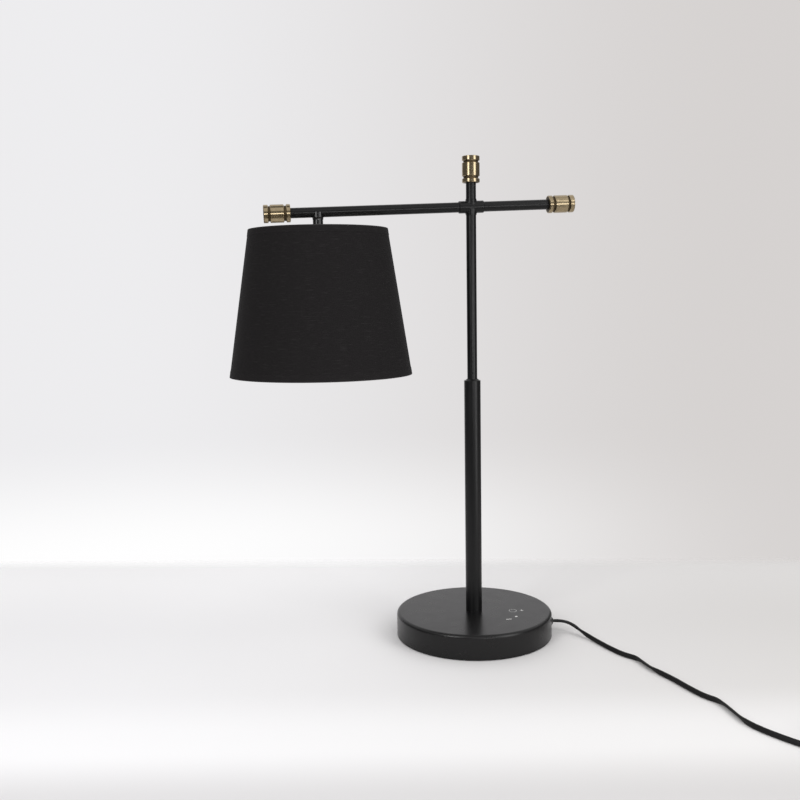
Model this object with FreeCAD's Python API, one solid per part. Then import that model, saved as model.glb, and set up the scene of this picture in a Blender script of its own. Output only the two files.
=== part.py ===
"""A desk lamp: a weighted round base, a two-stage stem that slides and turns,
a cross arm with a fabric shade on its long side and a brass counterweight on
its short side.

Millimetres. +Z is up and the origin is the centre of the underside. The long
arm points along -X, and the short arm with its counterweight along +X.
"""
import FreeCAD, Part
import math
import os

V = FreeCAD.Vector
UP = V(0, 0, 1)

# ---------------------------------------------------------------- clearances
SEAT = 0.05            # radial gap of a piece pushed into or over another
LAID = 0.3             # gap between loose pieces that lie side by side
RUN = 0.05             # radial running gap of the sliding stem
PRESS = 0.02           # radial gap of a piece pressed or brazed onto a tube
HOLE = 0.2             # radial gap of a plain hole round the stem's nipple
LAP = 0.2              # how far two shapes that become one run into each other
PAST = 1.0             # how far a cutter runs past the face that it cuts
TINY = 0.01

# ---------------------------------------------------------------- base
BASE_D = 192.0         # over the cover
BASE_H = 30.0          # floor to the cover's top
COVER_WALL = 1.5
COVER_EDGE_R = 4.0     # rounded top edge
COVER_LIFT = 0.8       # floor to the cover's lower rim
PAD_T = 2.0
PAD_INSET = 4.0        # base's side to the pad's
PLATE_T = 1.5
WEIGHT_INSET = 9.0     # base's side to the weight's
WEIGHT_T = 12.0
POCKET_D = 40.0        # recess round the stem's nut
POCKET_DEPTH = 6.0
BOSS_INSET = 20.0      # base's side to the screws' circle
BOSS_D = 12.0
PLATE_SCREWS = 3
SCREWS_FROM = 60.0     # degrees, first screw
SCREW_D = 4.0          # M4
SCREW_HEAD_D = 8.0
SCREW_LENGTH = 10.0
SCREW_SPACE = 1.0      # hole past a screw's tip
SLOT_W = 1.0
SLOT_DEPTH = 0.7

# ---------------------------------------------------------------- touch dimmer
DIMMER_AT = (45.0, -30.0)      # under the marks on the cover
DIMMER_D = 32.0
DIMMER_FLANGE_D = 34.0
DIMMER_FLANGE_T = 2.0
DIMMER_H = 18.0
DIMMER_TOP_GAP = 1.5   # can to the cover
DIMMER_FIT = 0.4       # radial gap in the weight
DIMMER_EDGE_R = 1.0
LINK_D = 3.0           # lead from the terminal block
LINK_UNDER_CORD = 4.0  # the link runs this far below the cord
ELECTRODE_D = 26.0
ELECTRODE_T = 0.4
ELECTRODE_POST_D = 6.0
ELECTRODE_GAP = 0.1    # film of glue to the cover

# ---------------------------------------------------------------- stem
NIPPLE_D = 10.0        # M10 x 1 hollow thread
NIPPLE_BORE_D = 7.5
NIPPLE_GRIP = 20.0     # length screwed into the foot plug
NIPPLE_PAST_NUT = 1.3
FOOT_PAST_NIPPLE = 2.0
NUT_AF = 14.0
NUT_T = 5.0
WASHER_D = 30.0
WASHER_T = 1.2
LOWER_D = 20.0
LOWER_WALL = 1.0
STEP_Z = 317.0         # floor to the flat top of the gland cap
UPPER_D = 12.0
UPPER_WALL = 1.0
UPPER_HIDDEN = 55.0    # length of the upper tube inside the lower one
CAP_RING_H = 3.8
CAP_CONE_H = 1.8
CAP_CONE_D = (17.0, 13.2)
CAP_SPIGOT_H = 20.0
CAP_LIP_H = 1.2
CAP_LIP_GAP = 0.2      # radial, round the upper tube
CAP_CHAMFER = 0.4
BUSH_WALL = 1.0
BUSH_FLANGE_T = 3.0
BUSH_END_GAP = 0.1
GUIDE_H = 20.0
CLIP_D = 16.0
CLIP_T = 1.0
CLIP_GAP = 0.1
STOP_GAP = 0.3         # guide stack to the gland when fully raised

# ---------------------------------------------------------------- arm
CROSS_Z = 524.5        # floor to where the arm's axis meets the stem's
ARM_DROOP = 1.8        # degrees; the long arm hangs this far below level
ARM_D = 12.0
ARM_WALL = 1.0
FRONT_REACH = 246.0    # stem axis to the end of the long arm's knob
REAR_REACH = 126.0     # stem axis to the end of the counterweight
COLLAR_D = 14.5
COLLAR_REACH = 15.1    # stem axis to a collar's face
COLLAR_SOCKET = 7.0    # depth of the arm tube in its collar
SOCKET_GAP = 0.1
COLLAR_CHAMFER = 0.6
HUB_D = (12.9, 14.2)   # barrel of the cross fitting: ends, middle
HUB_H = 19.0
HUB_FILLET_R = 1.0
SEAM_HEIGHT = 2.0      # least height of the edges that get the fillet
WIRE_HOLE_D = 7.0

# ---------------------------------------------------------------- knobs
KNOB_D = 21.0
KNOB_STEPS = (4.7, 2.7, 15.9, 2.3, 5.4)   # flange, groove, barrel, groove, flange
KNOB_GROOVE = 1.7      # groove depth
KNOB_EDGE = 0.5
KNOB_BORE = 20.0       # tube length inside a knob
TOP_RISE = 59.5        # crossing to the top of the upper knob
STUD_D = 6.0
STUD_LENGTH = 7.0
STUD_PLUG = 12.0       # length pressed into the tube
STUD_SPACE = 0.5       # hole past the stud's end

# ---------------------------------------------------------------- lamp head
HEAD_X = -183.0        # axis of the shade
DROP_D = 12.0
DROP_SADDLE_D = 13.4
DROP_SADDLE_H = 3.0    # under the arm
DROP_SADDLE_EDGE = 0.5
DROP_GROOVE = 0.35     # groove under the saddle
DROP_GROOVE_W = 0.5
DROP_BORE_D = 7.5
DROP_SPIGOT = 10.0
HOLDER_DROP = 26.75    # arm's axis to the lampholder's top
HOLDER_CAP_H = 24.0
HOLDER_SKIRT_H = 7.0   # straight wall of the cap
HOLDER_NECK_H = 5.0
HOLDER_NECK_EDGE = 1.0
HOLDER_DOME = (2.6, 5.5)        # a point of the dome, in from its side and up from its foot
HOLDER_DOME_INSIDE = (2.4, 2.6)
HOLDER_SHOULDER_H = 2.5
HOLDER_NECK_D = 17.0
HOLDER_D = 38.0
HOLDER_WALL = 2.0
HOLDER_BODY_H = 31.0
HOLDER_FLANGE_D = 47.0
HOLDER_FLANGE_T = 2.1
HOLDER_SLEEVE_D = 39.4
HOLDER_INSERT_T = 6.0
E27_D = 26.4
E27_BORE_D = 28.0
E27_LENGTH = 24.5
E27_SHOULDER = (6.0, 5.0, 2.5)  # height of its foot, its width, height of its top
CONTACT_D = 9.0
CONTACT_H = 2.0
CONTACT_GAP = 0.2
CLAMP_RING_D = 54.0
CLAMP_RING_T = 6.0
CLAMP_RING_LIP = 2.0   # straight part of its side
CLAMP_RING_TAPER = 3.0
CLAMP_RING_GRIPS = 12
GRIP_R = 1.2
BULB_D = 60.0
BULB_LENGTH = 109.0
BULB_NECK_D = 26.8
BULB_SHOULDER = ((0.955, 9.5), (0.83, 18.5))   # share of the radius, height over the globe's centre
BULB_FLARE = (1.2, 12.0)        # out from the neck, down from the screw cap
BULB_NECK_H = 4.0

# ---------------------------------------------------------------- shade
SHADE_OVER_HOLDER = 7.0    # lampholder's top to the shade's
SHADE_H = 170.5
SHADE_TOP_D = 162.6
SHADE_BOTTOM_D = 214.8
SHADE_WALL = 1.0
SHADE_HEM = 8.0        # width of the turned edge
SHADE_HEM_PROUD = 0.3
WIRE_D = 3.0
RING_INSET = 2.2       # from the shade's edge to the ring wire's middle
RING_GAP = 0.1         # ring wire to the shade's inside
SPIDER_LEGS = 3
SPIDER_LEG_AT = 90.0   # degrees, first leg
SPIDER_HUB_D = 56.0
SPIDER_T = 1.5
SPIDER_FIT = 0.4       # radial gap of the hub round the lampholder
SPIDER_FLAT = 12.0     # level part of a leg before it rises
SPIDER_BEND_R = 8.0
WELD_DEPTH = 0.2       # how far a wire is sunk into the hub by its weld

# ---------------------------------------------------------------- leads inside
LEAD_D = 4.0
LEAD_BEND_R = 9.0
LEAD_OVER_PLATE = 3.0  # lead to the base plate
LEAD_TIGHT_R = 6.0
LEAD_SLACK_OVER = 6.0  # nipple's end to where the lead's slack starts

# ---------------------------------------------------------------- mains cord
CORD_D = 5.6           # the flat cord's width
CORD_EXIT_ANGLE = -8.0 # degrees round the base from +X
CORD_Z = 13.5          # height of the cord's exit
GROMMET_WALL = 1.3     # rubber round the cord
GROMMET_LIP = 1.4      # flange inside the cover
GROMMET_RIM = 1.2      # rim outside the cover
GROMMET_OUT = 2.5      # base's side to the strain relief's tip
GROMMET_IN = 17.5      # base's side to its inner end
GROMMET_FIT = 0.1      # radial gap in the cover
GROMMET_TIP_WALL = 0.6
GROMMET_SHOULDER = 0.3
BLOCK_AT = (38.0, 58.0)    # terminal block, along the cord
BLOCK_W = 14.0
BLOCK_H = 11.0
BLOCK_SIDE = 2.0       # block's middle to the cord's axis
BLOCK_EDGE_R = 1.2
WELL_D = 4.0           # holes over the terminal screws
WELL_DEPTH = 3.0
CLAMP_AT = 70.0
CLAMP_W = 24.0
CLAMP_L = 8.0
CLAMP_T = 1.4
CLAMP_EDGE_R = 2.0
CLAMP_SCREW_D = 3.0
CLAMP_SCREW_GRIP = 4.0
CLAMP_HEAD_D = 5.4
CLAMP_HEAD_T = 1.3
CLAMP_SCREW_PITCH = 16.0
# The cord's corners: x and y from the strain relief's tip, z from the floor.
CORD_ROUTE = [
    (11.88, -1.67, 13.5),
    (22.66, -7.89, 11.8),
    (30.76, -18.59, 8.6),
    (36.06, -33.49, 5.4),
    (40.46, -54.29, 3.4),
    (45.96, -77.79, 2.8),
    (53.96, -99.29, 2.8),
    (64.26, -116.79, 2.8),
    (67.46, -135.79, 2.8),
    (71.46, -154.79, 2.8),
    (79.46, -178.29, 2.8),
    (84.96, -203.79, 2.8),
    (92.46, -225.29, 2.8),
    (100.66, -242.29, 2.8),
    (102.66, -265.29, 2.8),
    (103.46, -290.29, 2.8),
    (110.46, -311.29, 2.8),
    (119.96, -328.29, 2.8),
    (130.76, -345.29, 2.8),
    (142.76, -360.89, 2.8),
    (153.46, -377.89, 2.8),
]
BEND_SHARE = 0.45      # of a run's length that the arc at its end may take
COIL_MID_R = 33.6      # middle of the turns
COIL_STEP = 6.3        # from turn to turn and from layer to layer
COIL_TURNS = 3.0       # in the lower layer
COIL_TO = 270.0        # degrees, where the cord leaves the coil
PLUG_OFF = 66.0        # coil centre to the plug's axis
PLUG_LEAD_R = 33.0     # turn of the cord into the plug
PLUG_LEAD_CORNERS = 3
PLUG_LEAD_STRAIGHT = 8.0
PLUG_BODY = ((0.0, 10.0, 8.0), (14.0, 17.0, 11.0), (30.0, 34.0, 13.7), (36.0, 34.0, 13.7))
PIN_D = 4.0
PIN_SLEEVE_D = 3.7
PIN_SLEEVE_L = 10.0
PIN_L = 19.0
PIN_PITCH = 18.6
PIN_ROOT = 7.0         # length inside the plug
PIN_TIP_R = 1.2

# ---------------------------------------------------------------- worked out
pad_r = BASE_D / 2 - PAD_INSET
weight_r = BASE_D / 2 - WEIGHT_INSET
boss_circle_r = BASE_D / 2 - BOSS_INSET
cover_under_z = BASE_H - COVER_WALL
plate_z = PAD_T
plate_top_z = plate_z + PLATE_T
weight_z = cover_under_z - WEIGHT_T
pocket_z = weight_z + POCKET_DEPTH
nipple_z = pocket_z - WASHER_T - NUT_T - NIPPLE_PAST_NUT
foot_top_z = BASE_H + NIPPLE_GRIP + FOOT_PAST_NIPPLE
lower_top_z = STEP_Z - CAP_RING_H
lower_bore_r = LOWER_D / 2 - LOWER_WALL
bush_bore_r = UPPER_D / 2 + RUN
bush_r = bush_bore_r + BUSH_WALL
bush_flange_z = lower_top_z - CAP_SPIGOT_H - BUSH_FLANGE_T
upper_bottom_z = STEP_Z - UPPER_HIDDEN
upper_bore_r = UPPER_D / 2 - UPPER_WALL
arm_bore_r = ARM_D / 2 - ARM_WALL
knob_length = sum(KNOB_STEPS)
droop = math.radians(ARM_DROOP)
front = V(-math.cos(droop), 0, -math.sin(droop))
cross = V(0, 0, CROSS_Z)
head_s = -HEAD_X / math.cos(droop)
head_z = CROSS_Z - head_s * math.sin(droop)
top_z = CROSS_Z + TOP_RISE
holder_top_z = head_z - HOLDER_DROP
holder_z = holder_top_z - HOLDER_CAP_H
flange_z = holder_z - HOLDER_SHOULDER_H - HOLDER_FLANGE_T
spider_z = flange_z - SPIDER_T
contact_z = holder_z - HOLDER_INSERT_T
bulb_cap_z = contact_z - CONTACT_GAP - E27_LENGTH
bulb_z = contact_z - BULB_LENGTH
shade_top_z = holder_top_z + SHADE_OVER_HOLDER
shade_z = shade_top_z - SHADE_H
shade_slope = (SHADE_BOTTOM_D - SHADE_TOP_D) / 2 / SHADE_H
exit_angle = math.radians(CORD_EXIT_ANGLE)
exit_dir = V(math.cos(exit_angle), math.sin(exit_angle), 0)
grommet_r = CORD_D / 2 + GROMMET_WALL
grommet_tip = BASE_D / 2 + GROMMET_OUT
grommet_back = BASE_D / 2 - GROMMET_IN
cord_start = exit_dir * grommet_tip + V(0, 0, CORD_Z)
cord_route = [V(cord_start.x + x, cord_start.y + y, z) for x, y, z in CORD_ROUTE]
cord_bore_r = CORD_D / 2 + SEAT
cord_top_z = CORD_Z + CORD_D / 2 + SEAT
clamp_z = CORD_Z - CORD_D / 2 - SEAT - CLAMP_T
clamp_tip_z = weight_z + CLAMP_SCREW_GRIP
screw_tip_z = plate_z + SCREW_LENGTH
dimmer_z = cover_under_z - DIMMER_TOP_GAP - DIMMER_H
guide_z = bush_flange_z - STOP_GAP - CLIP_T - CLIP_GAP - GUIDE_H
socket_s = COLLAR_REACH - COLLAR_SOCKET + SOCKET_GAP
lead_z = plate_top_z + LEAD_D / 2 + LEAD_OVER_PLATE
lead_slack_z = BASE_H + NIPPLE_GRIP + LEAD_SLACK_OVER

# The coil starts where the route ends, in the direction of its last run.
coil_rate = COIL_STEP / (2 * math.pi)
coil_lower = 2 * math.pi * COIL_TURNS
coil_outer_r = COIL_MID_R + COIL_STEP * COIL_TURNS / 2
coil_inner_r = coil_outer_r - COIL_STEP * COIL_TURNS
coil_start = cord_route[-1]
coil_entry = coil_start - cord_route[-2]
coil_from = math.atan2(coil_entry.y, coil_entry.x) - math.pi / 2 - math.atan2(coil_rate, coil_outer_r)
coil_centre = coil_start - V(math.cos(coil_from), math.sin(coil_from), 0) * coil_outer_r
plug_x = coil_centre.x + PLUG_OFF
plug_z = max(h for _, _, h in PLUG_BODY) / 2


# ---------------------------------------------------------------- helpers
def cyl(r, z0, z1, x=0.0, y=0.0):
    """Upright cylinder from z0 to z1."""
    return Part.makeCylinder(r, z1 - z0, V(x, y, z0))


def pipe(ro, ri, z0, z1):
    """Upright tube."""
    return cyl(ro, z0, z1).cut(cyl(ri, z0 - PAST, z1 + PAST))


def turned(outline):
    """Solid turned about Z from a closed outline of (radius, z) points.

    An entry of two points is an arc, through the first and to the second.
    """
    def at(p):
        return V(p[0], 0, p[1])

    edges = []
    here = outline[0]
    for step in list(outline[1:]) + [outline[0]]:
        if isinstance(step[0], tuple):
            edges.append(Part.Arc(at(here), at(step[0]), at(step[1])).toShape())
            here = step[1]
        elif step != here:
            edges.append(Part.LineSegment(at(here), at(step)).toShape())
            here = step
    return Part.Face(Part.Wire(edges)).revolve(V(0, 0, 0), UP, 360)


def aimed(shape, origin, direction):
    """Moves a shape built on +Z so that it starts at origin and runs along direction."""
    out = shape.copy()
    out.Placement = FreeCAD.Placement(origin, FreeCAD.Rotation(UP, direction)).multiply(out.Placement)
    return out


def on_arm(shape, side):
    """A shape built on +Z, laid along the long arm (1) or the short one (-1)."""
    return aimed(shape, cross, front * side)


def at_exit(shape):
    """A shape built with the cord along +X, turned to the cord's exit."""
    out = shape.copy()
    out.rotate(V(0, 0, 0), UP, CORD_EXIT_ANGLE)
    return out


def at_head(shape):
    """A shape built on the Z axis, moved to the shade's axis."""
    out = shape.copy()
    out.translate(V(HEAD_X, 0, 0))
    return out


def rounded_bend(points, radius=None):
    """A wire of straight runs joined by tangent arcs, and the arcs' radii.

    With no radius, each arc is as large as its two runs allow.
    """
    edges = []
    radii = []
    here = points[0]
    for before, corner, after in zip(points, points[1:], points[2:]):
        into = corner - before
        out = after - corner
        half_turn = into.getAngle(out) / 2
        r = radius or BEND_SHARE * min(into.Length, out.Length) / math.tan(half_turn)
        cut = r * math.tan(half_turn)
        into.normalize()
        out.normalize()
        start = corner - into * cut
        end = corner + out * cut
        inward = out - into
        inward.normalize()
        middle = corner + inward * (r / math.cos(half_turn) - r)
        if (start - here).Length > TINY:
            edges.append(Part.LineSegment(here, start).toShape())
        edges.append(Part.Arc(start, middle, end).toShape())
        radii.append(r)
        here = end
    edges.append(Part.LineSegment(here, points[-1]).toShape())
    return Part.Wire(edges), radii


def swept(wire, r):
    """Round bar of radius r along a wire."""
    first = wire.OrderedEdges[0]
    start = first.valueAt(first.FirstParameter)
    along = first.tangentAt(first.FirstParameter)
    ring = Part.Wire(Part.makeCircle(r, start, along))
    return wire.makePipeShell([ring], True, False)


def biarc(p0, t0, p1, t1):
    """Two tangent arcs from p0 along t0 to p1 along t1."""
    span = p1 - p0
    t = t0 + t1
    bend = 2 * (1 - t0.dot(t1))
    d = (math.sqrt(span.dot(t) ** 2 + bend * span.dot(span)) - span.dot(t)) / bend
    q0 = p0 + t0 * d
    q1 = p1 - t1 * d
    joint = (q0 + q1) * 0.5
    arcs = []
    for a, q, b in ((p0, q0, joint), (joint, q1, p1)):
        chord_mid = (a + b) * 0.5
        rise = q - chord_mid
        half = (b - a).Length / 2
        sag = half * math.tan(math.atan2(rise.Length, half) / 2)
        arcs.append(Part.Arc(a, chord_mid + rise * (sag / rise.Length), b).toShape())
    return arcs


# ---------------------------------------------------------------- base
def screw_circle():
    """Centres of the base plate's screws."""
    for k in range(PLATE_SCREWS):
        a = math.radians(SCREWS_FROM + k * 360 / PLATE_SCREWS)
        yield boss_circle_r * math.cos(a), boss_circle_r * math.sin(a)


def base_cover():
    r = BASE_D / 2
    er = COVER_EDGE_R
    ir = er - COVER_WALL
    bend = math.sqrt(0.5)
    outline = [
        (r - COVER_WALL, COVER_LIFT),
        (r, COVER_LIFT),
        (r, BASE_H - er),
        ((r - er + er * bend, BASE_H - er + er * bend), (r - er, BASE_H)),
        (NIPPLE_D / 2 + HOLE, BASE_H),
        (NIPPLE_D / 2 + HOLE, cover_under_z),
        (r - er, cover_under_z),
        ((r - er + ir * bend, cover_under_z - ir + ir * bend), (r - COVER_WALL, cover_under_z - ir)),
    ]
    hole = Part.makeCylinder(grommet_r + GROMMET_FIT, 3 * er, V(r - 2 * er, 0, CORD_Z), V(1, 0, 0))
    return turned(outline).cut(at_exit(hole))


def base_weight():
    body = cyl(weight_r, weight_z, cover_under_z)
    for x, y in screw_circle():
        body = body.fuse(cyl(BOSS_D / 2, plate_top_z, weight_z + LAP, x, y))
    clamp_seat = Part.makeBox(CLAMP_L, CLAMP_W, weight_z + LAP - cord_top_z,
                              V(CLAMP_AT - CLAMP_L / 2, -CLAMP_W / 2, cord_top_z))
    body = body.fuse(at_exit(clamp_seat))
    body = body.cut(cyl(NIPPLE_D / 2 + HOLE, 0, BASE_H))
    body = body.cut(cyl(POCKET_D / 2, 0, pocket_z))
    body = body.cut(cyl(DIMMER_D / 2 + DIMMER_FIT, 0, BASE_H, *DIMMER_AT))
    cord_groove = Part.makeCylinder(grommet_r + LAID, BASE_D, V(grommet_back - PAST, 0, CORD_Z), V(1, 0, 0))
    body = body.cut(at_exit(cord_groove))
    for x, y in screw_circle():
        body = body.cut(cyl(SCREW_D / 2 + SEAT, 0, screw_tip_z + SCREW_SPACE, x, y))
    for x, y in clamp_screws():
        body = body.cut(at_exit(cyl(CLAMP_SCREW_D / 2 + SEAT, 0, clamp_tip_z + SCREW_SPACE, x, y)))
    return body.removeSplitter()


def base_plate():
    plate = cyl(BASE_D / 2 - COVER_WALL - LAID, plate_z, plate_top_z)
    for x, y in screw_circle():
        sink = Part.makeCone(SCREW_HEAD_D / 2 + SEAT, SCREW_D / 2 + SEAT, PLATE_T, V(x, y, plate_z))
        plate = plate.cut(sink)
    return plate


def base_pad():
    return cyl(pad_r, 0, PAD_T)


def plate_screws():
    out = []
    for x, y in screw_circle():
        head = Part.makeCone(SCREW_HEAD_D / 2, SCREW_D / 2, PLATE_T, V(x, y, plate_z))
        shank = cyl(SCREW_D / 2, plate_top_z - LAP, screw_tip_z, x, y)
        slot = Part.makeBox(SCREW_HEAD_D + 2 * PAST, SLOT_W, SLOT_DEPTH + PAST,
                            V(x - SCREW_HEAD_D / 2 - PAST, y - SLOT_W / 2, plate_z - PAST))
        out.append(head.fuse(shank).removeSplitter().cut(slot))
    return Part.makeCompound(out)


# ---------------------------------------------------------------- touch dimmer
def dimmer_module():
    x, y = DIMMER_AT
    top = dimmer_z + DIMMER_H
    can = cyl(DIMMER_D / 2, dimmer_z, top, x, y)
    can = can.makeFillet(DIMMER_EDGE_R, [e for e in can.Edges if e.BoundBox.ZMin > top - TINY])
    flange_top = weight_z - LAID
    flange = cyl(DIMMER_FLANGE_D / 2, flange_top - DIMMER_FLANGE_T, flange_top, x, y)
    return can.fuse(flange).removeSplitter()


def touch_electrode():
    x, y = DIMMER_AT
    top = cover_under_z - ELECTRODE_GAP
    disc = cyl(ELECTRODE_D / 2, top - ELECTRODE_T, top, x, y)
    post = cyl(ELECTRODE_POST_D / 2, dimmer_z + DIMMER_H, top - ELECTRODE_T + LAP, x, y)
    return disc.fuse(post).removeSplitter()


# ---------------------------------------------------------------- cord fixing
def cord_grommet():
    """Rubber strain relief: tapered outside, with a neck through the cover."""
    r = grommet_r
    outer = BASE_D / 2
    inner = outer - COVER_WALL - LAID
    outline = [
        (cord_bore_r, grommet_back),
        (r, grommet_back),
        (r, inner - GROMMET_LIP),
        (r + GROMMET_LIP, inner - GROMMET_LIP),
        (r + GROMMET_LIP, inner),
        (r, inner),
        (r, outer + SEAT),
        (r + GROMMET_RIM, outer + SEAT),
        (r + GROMMET_RIM, outer + GROMMET_RIM),
        (r, outer + GROMMET_RIM + GROMMET_SHOULDER),
        (cord_bore_r + GROMMET_TIP_WALL, grommet_tip),
        (cord_bore_r, grommet_tip),
    ]
    sleeve = aimed(turned(outline), V(0, 0, CORD_Z), V(1, 0, 0))
    return at_exit(sleeve)


def clamp_screws():
    """Centres of the cord clamp's screws, with the cord along +X."""
    for side in (-1, 1):
        yield CLAMP_AT, side * CLAMP_SCREW_PITCH / 2


def cord_clamp():
    bar = Part.makeBox(CLAMP_L, CLAMP_W, CLAMP_T,
                       V(CLAMP_AT - CLAMP_L / 2, -CLAMP_W / 2, clamp_z))
    ends = [e for e in bar.Edges if e.BoundBox.ZLength > CLAMP_T - TINY]
    bar = bar.makeFillet(CLAMP_EDGE_R, ends)
    for x, y in clamp_screws():
        bar = bar.cut(cyl(CLAMP_SCREW_D / 2 + SEAT, 0, BASE_H, x, y))
    return at_exit(bar)


def clamp_screw_pair():
    out = []
    for x, y in clamp_screws():
        head = cyl(CLAMP_HEAD_D / 2, clamp_z - CLAMP_HEAD_T, clamp_z, x, y)
        shank = cyl(CLAMP_SCREW_D / 2, clamp_z - LAP, clamp_tip_z, x, y)
        out.append(at_exit(head.fuse(shank).removeSplitter()))
    return Part.makeCompound(out)


def terminal_block():
    x0, x1 = BLOCK_AT
    top = weight_z - LAID
    block = Part.makeBox(x1 - x0, BLOCK_W, BLOCK_H, V(x0, BLOCK_SIDE - BLOCK_W / 2, top - BLOCK_H))
    block = block.makeFillet(BLOCK_EDGE_R, [e for e in block.Edges if e.BoundBox.XLength > TINY])
    for side in (-1, 1):
        y = BLOCK_SIDE + side * BLOCK_W / 4
        screw_well = cyl(WELL_D / 2, top - BLOCK_H - PAST, top - BLOCK_H + WELL_DEPTH, (x0 + x1) / 2, y)
        block = block.cut(screw_well)
    return at_exit(block)


def cord_tail():
    """The mains cord inside the base, from the terminal block to the strain relief's tip."""
    inner = BLOCK_AT[1]
    return at_exit(Part.makeCylinder(CORD_D / 2, grommet_tip - inner, V(inner, 0, CORD_Z), V(1, 0, 0)))


# ---------------------------------------------------------------- stem
def stem_nipple():
    return pipe(NIPPLE_D / 2, NIPPLE_BORE_D / 2, nipple_z, BASE_H + NIPPLE_GRIP)


def stem_washer():
    return pipe(WASHER_D / 2, NIPPLE_D / 2 + HOLE, pocket_z - WASHER_T, pocket_z)


def stem_nut():
    across = NUT_AF / math.cos(math.radians(30)) / 2
    corners = []
    for k in range(7):
        a = math.radians(60 * k)
        corners.append(V(across * math.cos(a), across * math.sin(a), pocket_z - WASHER_T - NUT_T))
    hexagon = Part.Face(Part.makePolygon(corners)).extrude(V(0, 0, NUT_T))
    return hexagon.cut(cyl(NIPPLE_D / 2 + SEAT, 0, BASE_H))


def stem_foot():
    return pipe(lower_bore_r - SEAT, NIPPLE_D / 2 + SEAT, BASE_H, foot_top_z)


def lower_tube():
    return pipe(LOWER_D / 2, lower_bore_r, BASE_H, lower_top_z)


def gland_cap():
    r = LOWER_D / 2
    bore = bush_r + SEAT
    lip = UPPER_D / 2 + CAP_LIP_GAP
    top = STEP_Z + CAP_CONE_H
    spigot_z = lower_top_z - CAP_SPIGOT_H
    outline = [
        (bore, spigot_z),
        (lower_bore_r - SEAT, spigot_z),
        (lower_bore_r - SEAT, lower_top_z),
        (r, lower_top_z),
        (r, STEP_Z - CAP_CHAMFER),
        (r - CAP_CHAMFER, STEP_Z),
        (CAP_CONE_D[0] / 2, STEP_Z),
        (CAP_CONE_D[1] / 2, top),
        (lip, top),
        (lip, top - CAP_LIP_H),
        (bore, top - CAP_LIP_H),
    ]
    return turned(outline)


def friction_bush():
    spigot_z = lower_top_z - CAP_SPIGOT_H
    top = STEP_Z + CAP_CONE_H - CAP_LIP_H - BUSH_END_GAP
    outline = [
        (bush_bore_r, bush_flange_z),
        (lower_bore_r - SEAT, bush_flange_z),
        (lower_bore_r - SEAT, spigot_z),
        (bush_r, spigot_z),
        (bush_r, top),
        (bush_bore_r, top),
    ]
    return turned(outline)


def guide_bush():
    return pipe(lower_bore_r - RUN, UPPER_D / 2 + RUN, guide_z, guide_z + GUIDE_H)


def guide_clips():
    top = guide_z + GUIDE_H + CLIP_GAP
    bottom = guide_z - CLIP_GAP
    above = pipe(CLIP_D / 2, UPPER_D / 2 + PRESS, top, top + CLIP_T)
    below = pipe(CLIP_D / 2, UPPER_D / 2 + PRESS, bottom - CLIP_T, bottom)
    return Part.makeCompound([above, below])


def upper_tube():
    tube = pipe(UPPER_D / 2, upper_bore_r, upper_bottom_z, top_z - knob_length + KNOB_BORE)
    wire_hole = aimed(cyl(WIRE_HOLE_D / 2, 0, UPPER_D), cross, front)
    return tube.cut(wire_hole)


# ---------------------------------------------------------------- arm
def cross_fitting():
    end_r = HUB_D[0] / 2
    mid_r = HUB_D[1] / 2
    half = HUB_H / 2
    barrel = turned([(0, CROSS_Z - half), (end_r, CROSS_Z - half),
                     ((mid_r, CROSS_Z), (end_r, CROSS_Z + half)), (0, CROSS_Z + half)])
    collar_r = COLLAR_D / 2
    c = COLLAR_CHAMFER
    collar = turned([(0, 0), (collar_r, 0), (collar_r, COLLAR_REACH - c),
                     (collar_r - c, COLLAR_REACH), (0, COLLAR_REACH)])
    body = barrel.fuse([on_arm(collar, 1), on_arm(collar, -1)]).removeSplitter()
    seams = [e for e in body.Edges if is_hub_seam(e)]
    body = body.makeFillet(HUB_FILLET_R, seams)
    body = body.cut(cyl(UPPER_D / 2 + PRESS, 0, top_z))
    for side in (1, -1):
        socket = cyl(ARM_D / 2 + SEAT, COLLAR_REACH - COLLAR_SOCKET, COLLAR_REACH + PAST)
        body = body.cut(on_arm(socket, side))
        body = body.cut(on_arm(cyl(WIRE_HOLE_D / 2, 0, COLLAR_REACH), side))
    return body


def is_hub_seam(edge):
    """True for the edges where the collars leave the barrel."""
    box = edge.BoundBox
    near = max(abs(box.XMin), abs(box.XMax)) < COLLAR_REACH / 2
    return near and box.ZLength > SEAM_HEIGHT and box.YLength > SEAM_HEIGHT


def arm_tube(start, end):
    return pipe(ARM_D / 2, arm_bore_r, start, end)


def front_arm_tube():
    tube = on_arm(arm_tube(socket_s, FRONT_REACH - knob_length + KNOB_BORE), 1)
    return tube.cut(at_head(cyl(WIRE_HOLE_D / 2, head_z - ARM_D, head_z)))


def rear_arm_tube():
    return on_arm(arm_tube(socket_s, REAR_REACH - knob_length + KNOB_BORE), -1)


def knob(tube_d):
    """A turned brass knob from its inner face at z = 0 outwards, for a tube's end."""
    r = KNOB_D / 2
    e = KNOB_EDGE
    bore = tube_d / 2 + SEAT
    stud = STUD_D / 2 + SEAT
    stud_end = KNOB_BORE + STUD_LENGTH + STUD_SPACE
    flange, groove, barrel, groove2, _ = KNOB_STEPS
    z1 = flange
    z2 = z1 + groove
    z3 = z2 + barrel
    z4 = z3 + groove2
    outline = [(bore, 0), (r - e, 0), (r, e)]
    for low, high in ((z1, z2), (z3, z4)):
        outline += [(r, low - e), (r - e, low), (r - KNOB_GROOVE, low),
                    (r - KNOB_GROOVE, high), (r - e, high), (r, high + e)]
    outline += [(r, knob_length - e), (r - e, knob_length), (0, knob_length)]
    outline += [(0, stud_end), (stud, stud_end)]
    outline += [(stud, KNOB_BORE + SEAT), (bore, KNOB_BORE + SEAT)]
    return turned(outline)


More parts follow.
